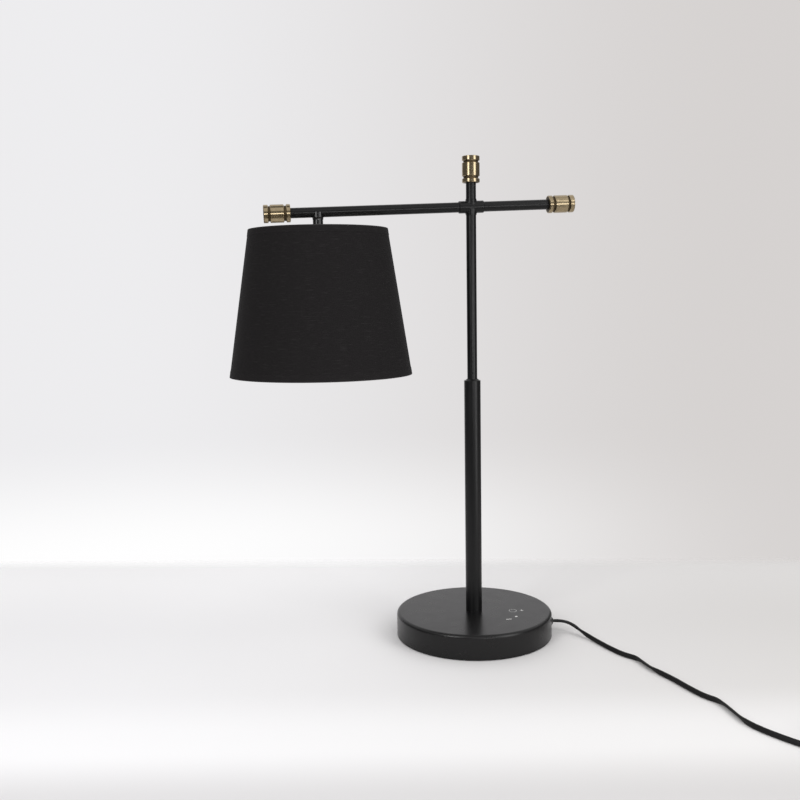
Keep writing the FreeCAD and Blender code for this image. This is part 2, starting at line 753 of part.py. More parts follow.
def front_knob():
    return on_arm(aimed(knob(ARM_D), V(0, 0, FRONT_REACH - knob_length), UP), 1)


def counterweight_knob():
    return on_arm(aimed(knob(ARM_D), V(0, 0, REAR_REACH - knob_length), UP), -1)


def top_knob():
    return aimed(knob(UPPER_D), V(0, 0, top_z - knob_length), UP)


def stud(tube_bore_r, tube_end):
    """A plug in the end of a tube, with the threaded stud that holds a knob."""
    plug = cyl(tube_bore_r - SEAT, tube_end - STUD_PLUG, tube_end)
    pin = cyl(STUD_D / 2, tube_end - LAP, tube_end + STUD_LENGTH)
    return plug.fuse(pin).removeSplitter()


def knob_studs():
    inner = KNOB_BORE - knob_length
    return Part.makeCompound([
        on_arm(stud(arm_bore_r, FRONT_REACH + inner), 1),
        on_arm(stud(arm_bore_r, REAR_REACH + inner), -1),
        stud(upper_bore_r, top_z + inner),
    ])


# ---------------------------------------------------------------- lamp head
def drop_stem():
    arm_under_z = head_z - ARM_D / 2
    saddle_z = arm_under_z - DROP_SADDLE_H
    spigot_z = holder_top_z - DROP_SPIGOT
    r = DROP_D / 2
    saddle_r = DROP_SADDLE_D / 2
    edge = DROP_SADDLE_EDGE
    outline = [
        (0, spigot_z),
        (NIPPLE_D / 2, spigot_z),
        (NIPPLE_D / 2, holder_top_z),
        (r, holder_top_z),
        (r, saddle_z - DROP_GROOVE_W),
        (r - DROP_GROOVE, saddle_z - DROP_GROOVE_W),
        (r - DROP_GROOVE, saddle_z),
        (saddle_r - edge, saddle_z),
        ((saddle_r - 0.7 * edge, (saddle_z + arm_under_z) / 2), (saddle_r, arm_under_z)),
        (saddle_r, head_z),
        (0, head_z),
    ]
    body = at_head(turned(outline))
    arm = on_arm(cyl(ARM_D / 2 + PRESS, 0, FRONT_REACH), 1)
    bore = at_head(cyl(DROP_BORE_D / 2, spigot_z - PAST, head_z))
    body = body.cut(arm).cut(bore)
    return max(body.Solids, key=lambda s: s.Volume)


def holder_cap():
    r = HOLDER_D / 2
    neck = HOLDER_NECK_D / 2
    edge = HOLDER_NECK_EDGE
    inside_r = r - HOLDER_WALL
    bore = NIPPLE_D / 2 + SEAT
    top = holder_top_z
    under = top - DROP_SPIGOT
    foot = holder_z + HOLDER_SKIRT_H
    dome_in, dome_up = HOLDER_DOME
    inside_in, inside_up = HOLDER_DOME_INSIDE
    outline = [
        (bore, top),
        (neck - edge, top),
        (neck, top - edge),
        (neck, top - HOLDER_NECK_H),
        ((r - dome_in, foot + dome_up), (r, foot)),
        (r, holder_z),
        (inside_r, holder_z),
        (inside_r, foot - edge),
        ((inside_r - inside_in, foot + inside_up), (neck, under)),
        (bore, under),
    ]
    return at_head(turned(outline))


def holder_body():
    r = HOLDER_D / 2
    sleeve = HOLDER_SLEEVE_D / 2
    bottom = holder_z - HOLDER_BODY_H
    bore = E27_BORE_D / 2
    outline = [
        (0, holder_z),
        (r, holder_z),
        (r, flange_z + HOLDER_FLANGE_T),
        (HOLDER_FLANGE_D / 2, flange_z + HOLDER_FLANGE_T),
        (HOLDER_FLANGE_D / 2, flange_z),
        (sleeve, flange_z),
        (sleeve, bottom),
        (bore, bottom),
        (bore, contact_z),
        (0, contact_z),
    ]
    return at_head(turned(outline))


def shade_clamp_ring():
    r = CLAMP_RING_D / 2
    bore = HOLDER_SLEEVE_D / 2 + SEAT
    top = spider_z
    bottom = top - CLAMP_RING_T
    ring = turned([(bore, top), (r, top), (r, top - CLAMP_RING_LIP),
                   (r - CLAMP_RING_TAPER, bottom), (bore, bottom)])
    for k in range(CLAMP_RING_GRIPS):
        a = math.radians((k + 0.5) * 360 / CLAMP_RING_GRIPS)
        ring = ring.cut(cyl(GRIP_R, bottom - PAST, top + PAST, r * math.cos(a), r * math.sin(a)))
    return at_head(ring)


def bulb_cap():
    r = E27_D / 2
    top = bulb_cap_z + E27_LENGTH
    foot, across, rise = E27_SHOULDER
    outline = [
        (0, bulb_cap_z),
        (r, bulb_cap_z),
        (r, top - foot),
        (r - across, top - rise),
        (CONTACT_D / 2, top - CONTACT_H),
        (CONTACT_D / 2, top),
        (0, top),
    ]
    return at_head(turned(outline))


def bulb_globe():
    r = BULB_D / 2
    neck = BULB_NECK_D / 2
    centre = bulb_z + r
    flare_out, flare_down = BULB_FLARE
    (share1, up1), (share2, up2) = BULB_SHOULDER
    bend = math.sqrt(0.5)
    outline = [
        (0, bulb_z),
        ((r * bend, centre - r * bend), (r, centre)),
        ((r * share1, centre + up1), (r * share2, centre + up2)),
        (neck + flare_out, bulb_cap_z - flare_down),
        (neck, bulb_cap_z - BULB_NECK_H),
        (neck, bulb_cap_z),
        (0, bulb_cap_z),
    ]
    return at_head(turned(outline))


# ---------------------------------------------------------------- shade
def shade_r(z):
    """Outer radius of the shade's fabric at a height."""
    return SHADE_TOP_D / 2 + (shade_top_z - z) * shade_slope


def shade_skin():
    top = shade_top_z
    low = shade_z
    hem = SHADE_HEM
    proud = SHADE_HEM_PROUD
    outline = [
        (shade_r(top) - SHADE_WALL, top),
        (shade_r(top) + proud, top),
        (shade_r(top - hem) + proud, top - hem),
        (shade_r(top - hem), top - hem),
        (shade_r(low + hem), low + hem),
        (shade_r(low + hem) + proud, low + hem),
        (shade_r(low) + proud, low),
        (shade_r(low) - SHADE_WALL, low),
    ]
    return at_head(turned(outline))


def ring_r(z):
    """Radius of a ring wire that lies against the inside of the shade."""
    lean = math.sqrt(1 + shade_slope ** 2)
    return shade_r(z) - SHADE_WALL - (WIRE_D / 2 + RING_GAP) * lean


def ring_wire(z, gap=0.0):
    """A ring of wire inside the shade at a height, with a gap all round it."""
    return Part.makeTorus(ring_r(z), WIRE_D / 2 + gap, V(0, 0, z))


def shade_top_ring():
    return at_head(ring_wire(shade_top_z - RING_INSET))


def shade_spider():
    """Hub washer and the legs that carry the top ring, welded into one piece."""
    ring_z = shade_top_z - RING_INSET
    hub = pipe(SPIDER_HUB_D / 2, HOLDER_SLEEVE_D / 2 + SPIDER_FIT, spider_z, flange_z)
    leg_from = HOLDER_FLANGE_D / 2 + LAID
    leg_z = flange_z + WIRE_D / 2 - WELD_DEPTH
    path, _ = rounded_bend([V(leg_from, 0, leg_z), V(leg_from + SPIDER_FLAT, 0, leg_z),
                            V(ring_r(ring_z), 0, ring_z)], SPIDER_BEND_R)
    leg = swept(path, WIRE_D / 2).cut(ring_wire(ring_z, SEAT))
    legs = []
    for k in range(SPIDER_LEGS):
        one = leg.copy()
        one.rotate(V(0, 0, 0), UP, SPIDER_LEG_AT + k * 360 / SPIDER_LEGS)
        legs.append(one)
    return at_head(hub.fuse(legs))


def shade_bottom_ring():
    return at_head(ring_wire(shade_z + RING_INSET))


# ---------------------------------------------------------------- leads inside
def lead_base():
    """From the dimmer along the base and up the stem's foot."""
    x, y = DIMMER_AT
    away = V(x, y, 0)
    start = away - away * ((DIMMER_D / 2) / away.Length)
    points = [V(start.x, start.y, lead_z), V(0, 0, lead_z), V(0, 0, lead_slack_z)]
    path, _ = rounded_bend(points, LEAD_BEND_R)
    return swept(path, LEAD_D / 2).cut(cyl(DIMMER_D / 2, 0, BASE_H, x, y))


def lead_slack():
    """The stretch that takes up the stem's travel."""
    return cyl(LEAD_D / 2, lead_slack_z, upper_bottom_z)


def lead_arm():
    """Up the upper tube, along the long arm and down to the lampholder."""
    over_head = cross + front * head_s
    points = [V(0, 0, upper_bottom_z), cross, over_head, V(HEAD_X, 0, holder_z)]
    path, _ = rounded_bend(points, LEAD_TIGHT_R)
    return swept(path, LEAD_D / 2)


def dimmer_lead():
    """Short link from the terminal block to the dimmer."""
    x, y = DIMMER_AT
    z = CORD_Z - LINK_UNDER_CORD
    link = Part.makeCylinder(LINK_D / 2, abs(y), V(x + LINK_D, y, z), V(0, 1, 0))
    link = link.cut(cyl(DIMMER_D / 2 + SEAT, 0, BASE_H, x, y))
    block = at_exit(Part.makeBox(BLOCK_AT[1] - BLOCK_AT[0], BLOCK_W, BASE_H,
                                 V(BLOCK_AT[0], BLOCK_SIDE - BLOCK_W / 2, 0)))
    return min(link.cut(block).Solids, key=lambda piece: piece.BoundBox.YMin)


# ---------------------------------------------------------------- mains cord
def coil_point(angle):
    """Point and direction on the coil, for an angle in radians from its start.

    The lower layer spirals in, half a turn climbs, and the upper layer spirals out.
    """
    floor_z = CORD_D / 2
    climb = angle - coil_lower
    if climb <= 0:
        r, dr, z, dz = coil_outer_r - coil_rate * angle, -coil_rate, floor_z, 0.0
    elif climb <= math.pi:
        t = climb / math.pi
        r = coil_inner_r - coil_rate * math.pi * t * (1 - t)
        dr = -coil_rate * (1 - 2 * t)
        z = floor_z + COIL_STEP * (1 - math.cos(math.pi * t)) / 2
        dz = COIL_STEP * math.sin(math.pi * t) / 2
    else:
        r, dr, z, dz = coil_inner_r + coil_rate * (climb - math.pi), coil_rate, floor_z + COIL_STEP, 0.0
    a = coil_from + angle
    place = V(coil_centre.x + r * math.cos(a), coil_centre.y + r * math.sin(a), z)
    along = V(dr * math.cos(a) - r * math.sin(a), dr * math.sin(a) + r * math.cos(a), dz)
    along.normalize()
    return place, along


def coil_sweep():
    """The whole angle of the coil, in radians."""
    least = 2 * coil_lower - math.pi
    past = math.radians(COIL_TO) - coil_from - least
    return least + past % (2 * math.pi)


def coil_stations():
    """Angles of the joints between the coil's quarter turns."""
    marks = [(0.0, coil_lower), (coil_lower, coil_lower + math.pi), (coil_lower + math.pi, coil_sweep())]
    angles = [0.0]
    for low, high in marks:
        count = max(1, round((high - low) / (math.pi / 2)))
        for k in range(count):
            angles.append(low + (high - low) * (k + 1) / count)
    return angles


def coil_wire():
    """The middle line of the coil, in pairs of tangent arcs."""
    edges = []
    places = [coil_point(a) for a in coil_stations()]
    for (p0, t0), (p1, t1) in zip(places, places[1:]):
        edges += biarc(p0, t0, p1, t1)
    return Part.Wire(edges)


def cord_points():
    """The loose stretch from the strain relief to the coil."""
    return [cord_start] + cord_route


def plug_lead_points():
    """The short end from the coil to the plug, turning a quarter circle."""
    start, along = coil_point(coil_sweep())
    middle = V(plug_x - PLUG_LEAD_R, start.y + PLUG_LEAD_R, plug_z)
    part = math.pi / 2 / PLUG_LEAD_CORNERS
    reach = PLUG_LEAD_R / math.cos(part / 2)
    turn = []
    for k in range(PLUG_LEAD_CORNERS):
        a = (k + 0.5) * part - math.pi / 2
        turn.append(middle + V(math.cos(a), math.sin(a), 0) * reach)
    entry = middle + V(PLUG_LEAD_R, PLUG_LEAD_STRAIGHT, 0)
    halfway = start + along * (BEND_SHARE * (turn[0].x - start.x))
    return [start, halfway] + turn + [entry]


def print_least_gap(name, wire, d):
    """Prints the least gap of a coiled bar to itself, measured on points."""
    step = d / 3
    points = wire.discretize(Distance=step)
    apart = math.ceil(3 * d / step)
    least = min((points[i] - points[j]).Length
                for i in range(len(points)) for j in range(i + apart, len(points)))
    print(f"{name}: least gap to itself {least - d:.2f} mm on {len(points)} points")


def print_volume(name, solid, wire, d):
    """Prints a bar's volume against its section times its length."""
    share = solid.Volume / (math.pi * d * d / 4 * wire.Length)
    print(f"{name}: length {wire.Length:.1f} mm, volume {share:.4f} of section times length")


# ---------------------------------------------------------------- plug
def rounded_section(w, h, y):
    """Rounded rectangle across +Y, with round sides."""
    r = h / 2 - TINY
    half = w / 2 - h / 2
    a, b = V(plug_x - half, y, plug_z - r), V(plug_x + half, y, plug_z - r)
    c, d = V(plug_x + half, y, plug_z + r), V(plug_x - half, y, plug_z + r)
    right = V(plug_x + half + r, y, plug_z)
    left = V(plug_x - half - r, y, plug_z)
    return Part.Wire([
        Part.LineSegment(a, b).toShape(),
        Part.Arc(b, right, c).toShape(),
        Part.LineSegment(c, d).toShape(),
        Part.Arc(d, left, a).toShape(),
    ])


def plug_rear_y():
    """Where the cord enters the plug."""
    return plug_lead_points()[-1].y


def plug_body():
    rear = plug_rear_y()
    sections = [rounded_section(w, h, rear + s) for s, w, h in PLUG_BODY]
    body = Part.makeLoft(sections, True, True)
    hole_y = rear + PLUG_BODY[-1][0] - PIN_ROOT - PAST
    for x in pin_places():
        hole = Part.makeCylinder(PIN_D / 2 + SEAT, PIN_ROOT + 2 * PAST, V(x, hole_y, plug_z), V(0, 1, 0))
        body = body.cut(hole)
    return body


def pin_places():
    return plug_x - PIN_PITCH / 2, plug_x + PIN_PITCH / 2


def plug_pins():
    front_y = plug_rear_y() + PLUG_BODY[-1][0]
    out = []
    for x in pin_places():
        root = Part.makeCylinder(PIN_SLEEVE_D / 2, PIN_ROOT + PIN_SLEEVE_L,
                                 V(x, front_y - PIN_ROOT, plug_z), V(0, 1, 0))
        metal = Part.makeCylinder(PIN_D / 2, PIN_L - PIN_SLEEVE_L,
                                  V(x, front_y + PIN_SLEEVE_L, plug_z), V(0, 1, 0))
        end = [e for e in metal.Edges if e.BoundBox.YMin > front_y + PIN_L - TINY]
        tip = metal.makeFillet(PIN_TIP_R, end)
        out.append(root.fuse(tip).removeSplitter())
    return Part.makeCompound(out)


def main():
    os.makedirs("parts", exist_ok=True)
    made = {
        "base_cover": base_cover(),
        "base_weight": base_weight(),
        "base_plate": base_plate(),
        "base_pad": base_pad(),
        "plate_screws": plate_screws(),
        "dimmer_module": dimmer_module(),
        "touch_electrode": touch_electrode(),
        "dimmer_lead": dimmer_lead(),
        "terminal_block": terminal_block(),
        "cord_clamp": cord_clamp(),
        "clamp_screws": clamp_screw_pair(),
        "cord_grommet": cord_grommet(),
        "cord_tail": cord_tail(),
        "stem_nipple": stem_nipple(),
        "stem_washer": stem_washer(),
        "stem_nut": stem_nut(),
        "stem_foot": stem_foot(),
        "lower_tube": lower_tube(),
        "gland_cap": gland_cap(),
        "friction_bush": friction_bush(),
        "guide_bush": guide_bush(),
        "guide_clips": guide_clips(),
        "upper_tube": upper_tube(),
        "cross_fitting": cross_fitting(),
        "front_arm_tube": front_arm_tube(),
        "rear_arm_tube": rear_arm_tube(),
        "front_knob": front_knob(),
        "counterweight_knob": counterweight_knob(),
        "top_knob": top_knob(),
        "knob_studs": knob_studs(),
        "drop_stem": drop_stem(),
        "holder_cap": holder_cap(),
        "holder_body": holder_body(),
        "shade_clamp_ring": shade_clamp_ring(),
        "shade_spider": shade_spider(),
        "shade_top_ring": shade_top_ring(),
        "shade_bottom_ring": shade_bottom_ring(),
        "shade_skin": shade_skin(),
        "bulb_cap": bulb_cap(),
        "bulb_globe": bulb_globe(),
        "lead_base": lead_base(),
        "lead_slack": lead_slack(),
        "lead_arm": lead_arm(),
        "plug_body": plug_body(),
        "plug_pins": plug_pins(),
    }
    loose, radii = rounded_bend(cord_points())
    made["mains_cord"] = swept(loose, CORD_D / 2)
    print("mains_cord: radii", [round(r) for r in radii])
    print_volume("mains_cord", made["mains_cord"], loose, CORD_D)
    coil = coil_wire()
    made["cord_coil"] = swept(coil, CORD_D / 2)
    print_volume("cord_coil", made["cord_coil"], coil, CORD_D)
    print_least_gap("cord_coil", coil, CORD_D)
    end, radii = rounded_bend(plug_lead_points())
    made["plug_lead"] = swept(end, CORD_D / 2)
    print("plug_lead: radii", [round(r) for r in radii])
    print_volume("plug_lead", made["plug_lead"], end, CORD_D)
    print(f"cord outside the base: {loose.Length + coil.Length + end.Length:.0f} mm")
    for name, shape in made.items():
        shape.exportStep(f"parts/{name}.step")


main()
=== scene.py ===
# %% [markdown]
# # A desk lamp in black metal, brass and fabric
#
# This lesson builds the looks of a desk lamp round a fixed frame: metal pieces whose size and place
# are already settled. Each step says what a piece or a finish is on the real lamp, how it could be
# made, and why one way is used. Lengths are in metres, +Z is up, and the lamp stands on the floor
# with its stem on the Z axis.

# %% Load the frame
import math
import bpy
from mathutils import Matrix, Vector


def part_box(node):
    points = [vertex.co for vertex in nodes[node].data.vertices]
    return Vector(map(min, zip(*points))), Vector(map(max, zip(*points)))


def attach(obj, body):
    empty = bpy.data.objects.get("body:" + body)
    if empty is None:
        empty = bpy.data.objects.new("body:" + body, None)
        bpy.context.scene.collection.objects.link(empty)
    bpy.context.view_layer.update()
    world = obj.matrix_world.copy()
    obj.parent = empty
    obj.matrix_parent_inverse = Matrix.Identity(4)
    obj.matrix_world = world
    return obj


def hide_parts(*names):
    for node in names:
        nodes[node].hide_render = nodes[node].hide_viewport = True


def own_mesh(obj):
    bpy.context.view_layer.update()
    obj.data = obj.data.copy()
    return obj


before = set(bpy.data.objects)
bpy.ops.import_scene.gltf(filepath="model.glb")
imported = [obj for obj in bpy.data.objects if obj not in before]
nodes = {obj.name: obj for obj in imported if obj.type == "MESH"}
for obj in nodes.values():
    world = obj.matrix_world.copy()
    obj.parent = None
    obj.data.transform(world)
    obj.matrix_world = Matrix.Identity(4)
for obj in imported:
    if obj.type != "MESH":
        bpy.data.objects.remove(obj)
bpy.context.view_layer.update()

# %% [markdown]
# ## Small helpers
#
# An operator acts on everything that is selected, so each piece starts with nothing selected.

# %% Helpers for selecting and shaping
MM = 0.001


def deselect():
    if bpy.context.object and bpy.context.object.mode != "OBJECT":
        bpy.ops.object.mode_set(mode="OBJECT")
    bpy.ops.object.select_all(action="DESELECT")


def only(piece):
    deselect()
    piece.select_set(True)
    bpy.context.view_layer.objects.active = piece


def settle(piece):
    """Puts a piece's place, turn and size into its mesh."""
    only(piece)
    bpy.ops.object.transform_apply(location=True, rotation=True, scale=True)
    return piece


def smooth(piece, angle=35):
    only(piece)
    bpy.ops.object.shade_smooth_by_angle(angle=math.radians(angle))
    return piece


def apply_modifiers(piece):
    only(piece)
    for modifier in list(piece.modifiers):
        bpy.ops.object.modifier_apply(modifier=modifier.name)
    return piece


# %% [markdown]
# ## Shader maths as Python
#
# A procedural material is a small sum. Wrapping a socket in a class with `+`, `-` and `*` lets the
# sum be read as one, and each sign adds its Math node. Every other node comes from `Finish.node`.

# %% The socket class and the finish class
SMOOTH_RAMP = {"interpolation_type": "SMOOTHSTEP", "clamp": True}


class Wire:
    """A number that changes over the surface."""

    def __init__(self, finish, socket):
        self.finish = finish
        self.socket = socket

    def maths(self, operation, *values):
        return self.finish.node("ShaderNodeMath", {"operation": operation}, dict(enumerate(values)))

    def __add__(self, other):
        return self.maths("ADD", self, other)

    def __sub__(self, other):
        return self.maths("SUBTRACT", self, other)

    def __rsub__(self, other):
        return self.maths("SUBTRACT", other, self)

    def __mul__(self, other):
        return self.maths("MULTIPLY", self, other)

    __radd__ = __add__
    __rmul__ = __mul__

    def absolute(self):
        return self.maths("ABSOLUTE", self)

    def root(self):
        return self.maths("SQRT", self)

    def larger(self, other):
        return self.maths("MAXIMUM", self, other)

    def step(self, low, high):
        """0 below low, 1 above high, and smooth between."""
        inputs = {0: self, 1: low, 2: high, 3: 0.0, 4: 1.0}
        return self.finish.node("ShaderNodeMapRange", SMOOTH_RAMP, inputs)


class Finish:
    """A material that is made of nodes."""

    def __init__(self, name):
        self.material = bpy.data.materials.new(name)
        self.material.use_nodes = True
        self.tree = self.material.node_tree
        self.tree.nodes.clear()
        self.place = self.node("ShaderNodeTexCoord", output="Object")

    def node(self, kind, settings=None, inputs=None, output=0):
        made = self.tree.nodes.new(kind)
        for key, value in (settings or {}).items():
            setattr(made, key, value)
        for key, value in (inputs or {}).items():
            if isinstance(value, Wire):
                self.tree.links.new(value.socket, made.inputs[key])
            else:
                made.inputs[key].default_value = value
        return Wire(self, made.outputs[output])

    def moved(self, at=(0, 0, 0), turn=(0, 0, 0), scale=(1, 1, 1)):
        """The place on the object, measured from a point and along turned axes."""
        inputs = {"Vector": self.place, "Location": at, "Rotation": turn, "Scale": scale}
        return self.node("ShaderNodeMapping", {"vector_type": "TEXTURE"}, inputs)

    def noise(self, scale, detail=3.0, roughness=0.5, place=None):
        inputs = {"Vector": place or self.place, "Scale": scale, "Detail": detail, "Roughness": roughness}
        return self.node("ShaderNodeTexNoise", inputs=inputs)

    def split(self, vector):
        made = self.node("ShaderNodeSeparateXYZ", inputs={0: vector}).socket.node
        return [Wire(self, made.outputs[k]) for k in range(3)]

    def join(self, x, y, z):
        return self.node("ShaderNodeCombineXYZ", inputs={0: x, 1: y, 2: z})

    def mix(self, share, low, high):
        """A colour between two, by a share."""
        settings = {"data_type": "RGBA", "clamp_factor": True}
        values = [c if isinstance(c, Wire) else (*c, 1.0) for c in (low, high)]
        inputs = {0: share, 6: values[0], 7: values[1]}
        return self.node("ShaderNodeMix", settings, inputs, output=2)

    def bump(self, height, depth, strength=1.0):
        inputs = {"Height": height, "Distance": depth, "Strength": strength}
        return self.node("ShaderNodeBump", inputs=inputs)

    def done(self, **inputs):
        """Ends the material in one Principled shader."""
        names = {key.replace("_", " "): value for key, value in inputs.items()}
        for key, value in names.items():
            if key.endswith("Color") and isinstance(value, tuple):
                names[key] = (*value, 1.0)
        shader = self.node("ShaderNodeBsdfPrincipled", inputs=names)
        surface = self.tree.nodes.new("ShaderNodeOutputMaterial").inputs["Surface"]
        self.tree.links.new(shader.socket, surface)
        return self.material


def wear(piece, material):
    """Gives a piece or a frame node one material."""
    if isinstance(piece, str):
        piece = nodes[piece]
    piece.data.materials.clear()
    piece.data.materials.append(material)
    return piece


# %% [markdown]
# ## The camera
#
# The picture is taken from a little above the middle of the lamp, slightly to its left. The place,
# the turns and the lens were found by matching the lamp's edges, so they stay plain numbers.

# %% Camera
CAMERA_AT = (-0.26219, -1.14441, 0.41878)
CAMERA_YAW = math.radians(8.589)     # to the right of +Y
CAMERA_PITCH = math.radians(-6.079)
CAMERA_ROLL = math.radians(-0.877)
LENS_MM = 43.45
SENSOR_MM = 36.0

camera_data = bpy.data.cameras.new("camera")
camera_data.lens = LENS_MM
camera_data.sensor_width = SENSOR_MM
camera = bpy.data.objects.new("camera", camera_data)
bpy.context.scene.collection.objects.link(camera)
turn = Matrix.Rotation(-CAMERA_YAW, 4, "Z") @ Matrix.Rotation(math.pi / 2 + CAMERA_PITCH, 4, "X")
turn = turn @ Matrix.Rotation(CAMERA_ROLL, 4, "Z")
camera.matrix_world = Matrix.Translation(CAMERA_AT) @ turn
bpy.context.scene.camera = camera

# %% [markdown]
# ## The mains cord
#
# The cord is a flat twin flex, two round cores side by side in one skin. It leaves the base near
# the middle of its wall, drops to the floor, and wanders off to the lower right, where the spare
# length is wound up. One smooth spline carries the whole of it. Its control points on the way to
# the coil are listed one by one, each beside the real cord's line.

# %% The route of the cord
CORD_WIDTH = 5.6 * MM
CORD_EXIT_ANGLE = math.radians(-8.0)
CORD_EXIT_Z = 13.5 * MM
CORD_EXIT_R = 98.5 * MM
# x and y from the strain relief's tip, z from the floor
CORD_ROUTE_MM = [
    (11.88, -1.67, 13.5),
    (22.40, -8.80, 10.6),
    (30.00, -25.50, 5.4),
    (35.80, -41.50, 3.3),
    (40.40, -57.00, 2.8),
    (45.96, -77.79, 2.8),
    (53.96, -99.29, 2.8),
    (65.80, -114.20, 2.8),
    (67.20, -135.60, 2.8),
    (71.46, -154.79, 2.8),
    (79.46, -178.29, 2.8),
    (84.96, -203.79, 2.8),
    (91.60, -226.00, 2.8),
    (101.80, -240.60, 2.8),
    (102.40, -265.30, 2.8),
    (102.60, -291.20, 2.8),
    (110.46, -311.29, 2.8),
    (119.96, -328.29, 2.8),
    (130.76, -345.29, 2.8),
    (142.76, -360.89, 2.8),
    (153.46, -377.89, 2.8),
]

exit_way = Vector((math.cos(CORD_EXIT_ANGLE), math.sin(CORD_EXIT_ANGLE), 0))
cord_exit = exit_way * CORD_EXIT_R + Vector((0, 0, CORD_EXIT_Z))
route = [cord_exit]
for x, y, z in CORD_ROUTE_MM:
    route.append(Vector((cord_exit.x + x * MM, cord_exit.y + y * MM, z * MM)))
print("the cord leaves the base at", [round(v, 4) for v in cord_exit])

# %% [markdown]
# The spare length is wound in two layers: three turns inwards on the floor, half a turn that
# climbs, and three turns outwards on top. A loop places its control points, because a coil follows
# a rule that a wandering cord doesn't.

# %% The coil
COIL_MID_R = 33.6 * MM
COIL_STEP = 6.3 * MM            # between neighbouring turns, and between the two layers
COIL_TURNS = 3.0
COIL_TO = math.radians(270.0)   # where the coil ends, seen from its centre
COIL_POINTS_A_TURN = 16
FLOOR_Z = CORD_WIDTH / 2        # the middle of a cord that stands on edge on the floor

coil_rate = COIL_STEP / math.tau
coil_lower = math.tau * COIL_TURNS
coil_outer_r = COIL_MID_R + COIL_STEP * COIL_TURNS / 2
coil_inner_r = coil_outer_r - COIL_STEP * COIL_TURNS
coil_entry = route[-1] - route[-2]
coil_from = math.atan2(coil_entry.y, coil_entry.x) - math.pi / 2 - math.atan2(coil_rate, coil_outer_r)
coil_centre = route[-1] - Vector((math.cos(coil_from), math.sin(coil_from), 0)) * coil_outer_r
least_sweep = 2 * coil_lower - math.pi
coil_sweep = least_sweep + (COIL_TO - coil_from - least_sweep) % math.tau


def coil_point(angle):
    """A point on the coil: in on the lower layer, half a turn up, and out on the upper one."""
    climb = angle - coil_lower
    if climb <= 0:
        r, z = coil_outer_r - coil_rate * angle, FLOOR_Z
    elif climb <= math.pi:
        t = climb / math.pi
        r = coil_inner_r - coil_rate * math.pi * t * (1 - t)
        z = FLOOR_Z + COIL_STEP * (1 - math.cos(math.pi * t)) / 2
    else:
        r, z = coil_inner_r + coil_rate * (climb - math.pi), FLOOR_Z + COIL_STEP
    a = coil_from + angle
    return Vector((coil_centre.x + r * math.cos(a), coil_centre.y + r * math.sin(a), z))


coil_count = round(coil_sweep / math.tau * COIL_POINTS_A_TURN)
for k in range(1, coil_count + 1):
    route.append(coil_point(coil_sweep * k / coil_count))
print("coil centre", [round(v, 4) for v in coil_centre])
print("the coil sweeps", round(math.degrees(coil_sweep)), "degrees")

# %% [markdown]
# From the coil the cord runs straight, turns a quarter circle and enters the plug. The middle
# control points stand on the corners round that circle, so the spline touches the circle between
# them.

# %% The run into the plug
PLUG_OFF = 66.0 * MM            # from the coil's centre to the plug's axis
PLUG_LEAD_R = 33.0 * MM
PLUG_LEAD_STRAIGHT = 8.0 * MM
PLUG_TURN_CORNERS = 3
LAST_RUN_SHARE = 0.45           # where the straight run has its control point
SMALL_ANGLE = 0.01

coil_end = route[-1]
along_end = (coil_end - coil_point(coil_sweep - SMALL_ANGLE)).normalized()
plug_low, plug_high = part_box("plug_body")
plug_x = coil_centre.x + PLUG_OFF
plug_z = (plug_low.z + plug_high.z) / 2
turn_middle = Vector((plug_x - PLUG_LEAD_R, coil_end.y + PLUG_LEAD_R, plug_z))
half_step = math.pi / 4 / PLUG_TURN_CORNERS
corner_r = PLUG_LEAD_R / math.cos(half_step)
corners = []
for k in range(PLUG_TURN_CORNERS):
    a = half_step * (2 * k + 1) - math.pi / 2
    corners.append(turn_middle + Vector((math.cos(a), math.sin(a), 0)) * corner_r)
route.append(coil_end + along_end * (LAST_RUN_SHARE * (corners[0].x - coil_end.x)))
route += corners
plug_entry = turn_middle + Vector((PLUG_LEAD_R, PLUG_LEAD_STRAIGHT, 0))
route.append(plug_entry)
print("cord route has", len(route), "points")

# %% [markdown]
# A NURBS curve through these control points gives the line. It is read as points, which are then
# spaced evenly, so that the section that follows it turns at a steady rate.

# %% From control points to an even line
LINE_RESOLUTION = 12            # points of the line for each control point
CORD_STEP = 1.5 * MM


def spline_through(name, points):
    """A NURBS curve with these control points, and the points that its line passes."""
    curve = bpy.data.curves.new(name, "CURVE")
    curve.dimensions = "3D"
    curve.resolution_u = LINE_RESOLUTION
    spline = curve.splines.new("NURBS")
    spline.points.add(len(points) - 1)
    for point, place in zip(spline.points, points):
        point.co = (*place, 1.0)
    spline.order_u = 3
    spline.use_endpoint_u = True
    holder = bpy.data.objects.new(name, curve)
    line = bpy.data.meshes.new_from_object(holder)
    places = [v.co.copy() for v in line.vertices]
    bpy.data.meshes.remove(line)
    bpy.data.objects.remove(holder)
    bpy.data.curves.remove(curve)
    return places


def evenly(points, step):
    """The same line, with points about a step apart."""
    ends = [0.0]
    for a, b in zip(points, points[1:]):
        ends.append(ends[-1] + (b - a).length)
    count = math.ceil(ends[-1] / step)
    out = []
    k = 0
    for i in range(count + 1):
        at = ends[-1] * i / count
        while k < len(points) - 2 and ends[k + 1] < at:
            k += 1
        share = (at - ends[k]) / (ends[k + 1] - ends[k])
        out.append(points[k].lerp(points[k + 1], share))
    return out, ends[-1]


cord_line, cord_length = evenly(spline_through("cord_line", route), CORD_STEP)
print("cord length", round(cord_length, 4))

# %% [markdown]
# A round bevel would lose the groove between the cores, so a section of two circles that meet in a
# neck is carried along the line instead. It is turned by a roll angle: 0 is flat on the floor and
# 90 degrees is on edge. The angles below are read along the cord in metres from the base, and eased
# from one to the next, as the real cord twists.

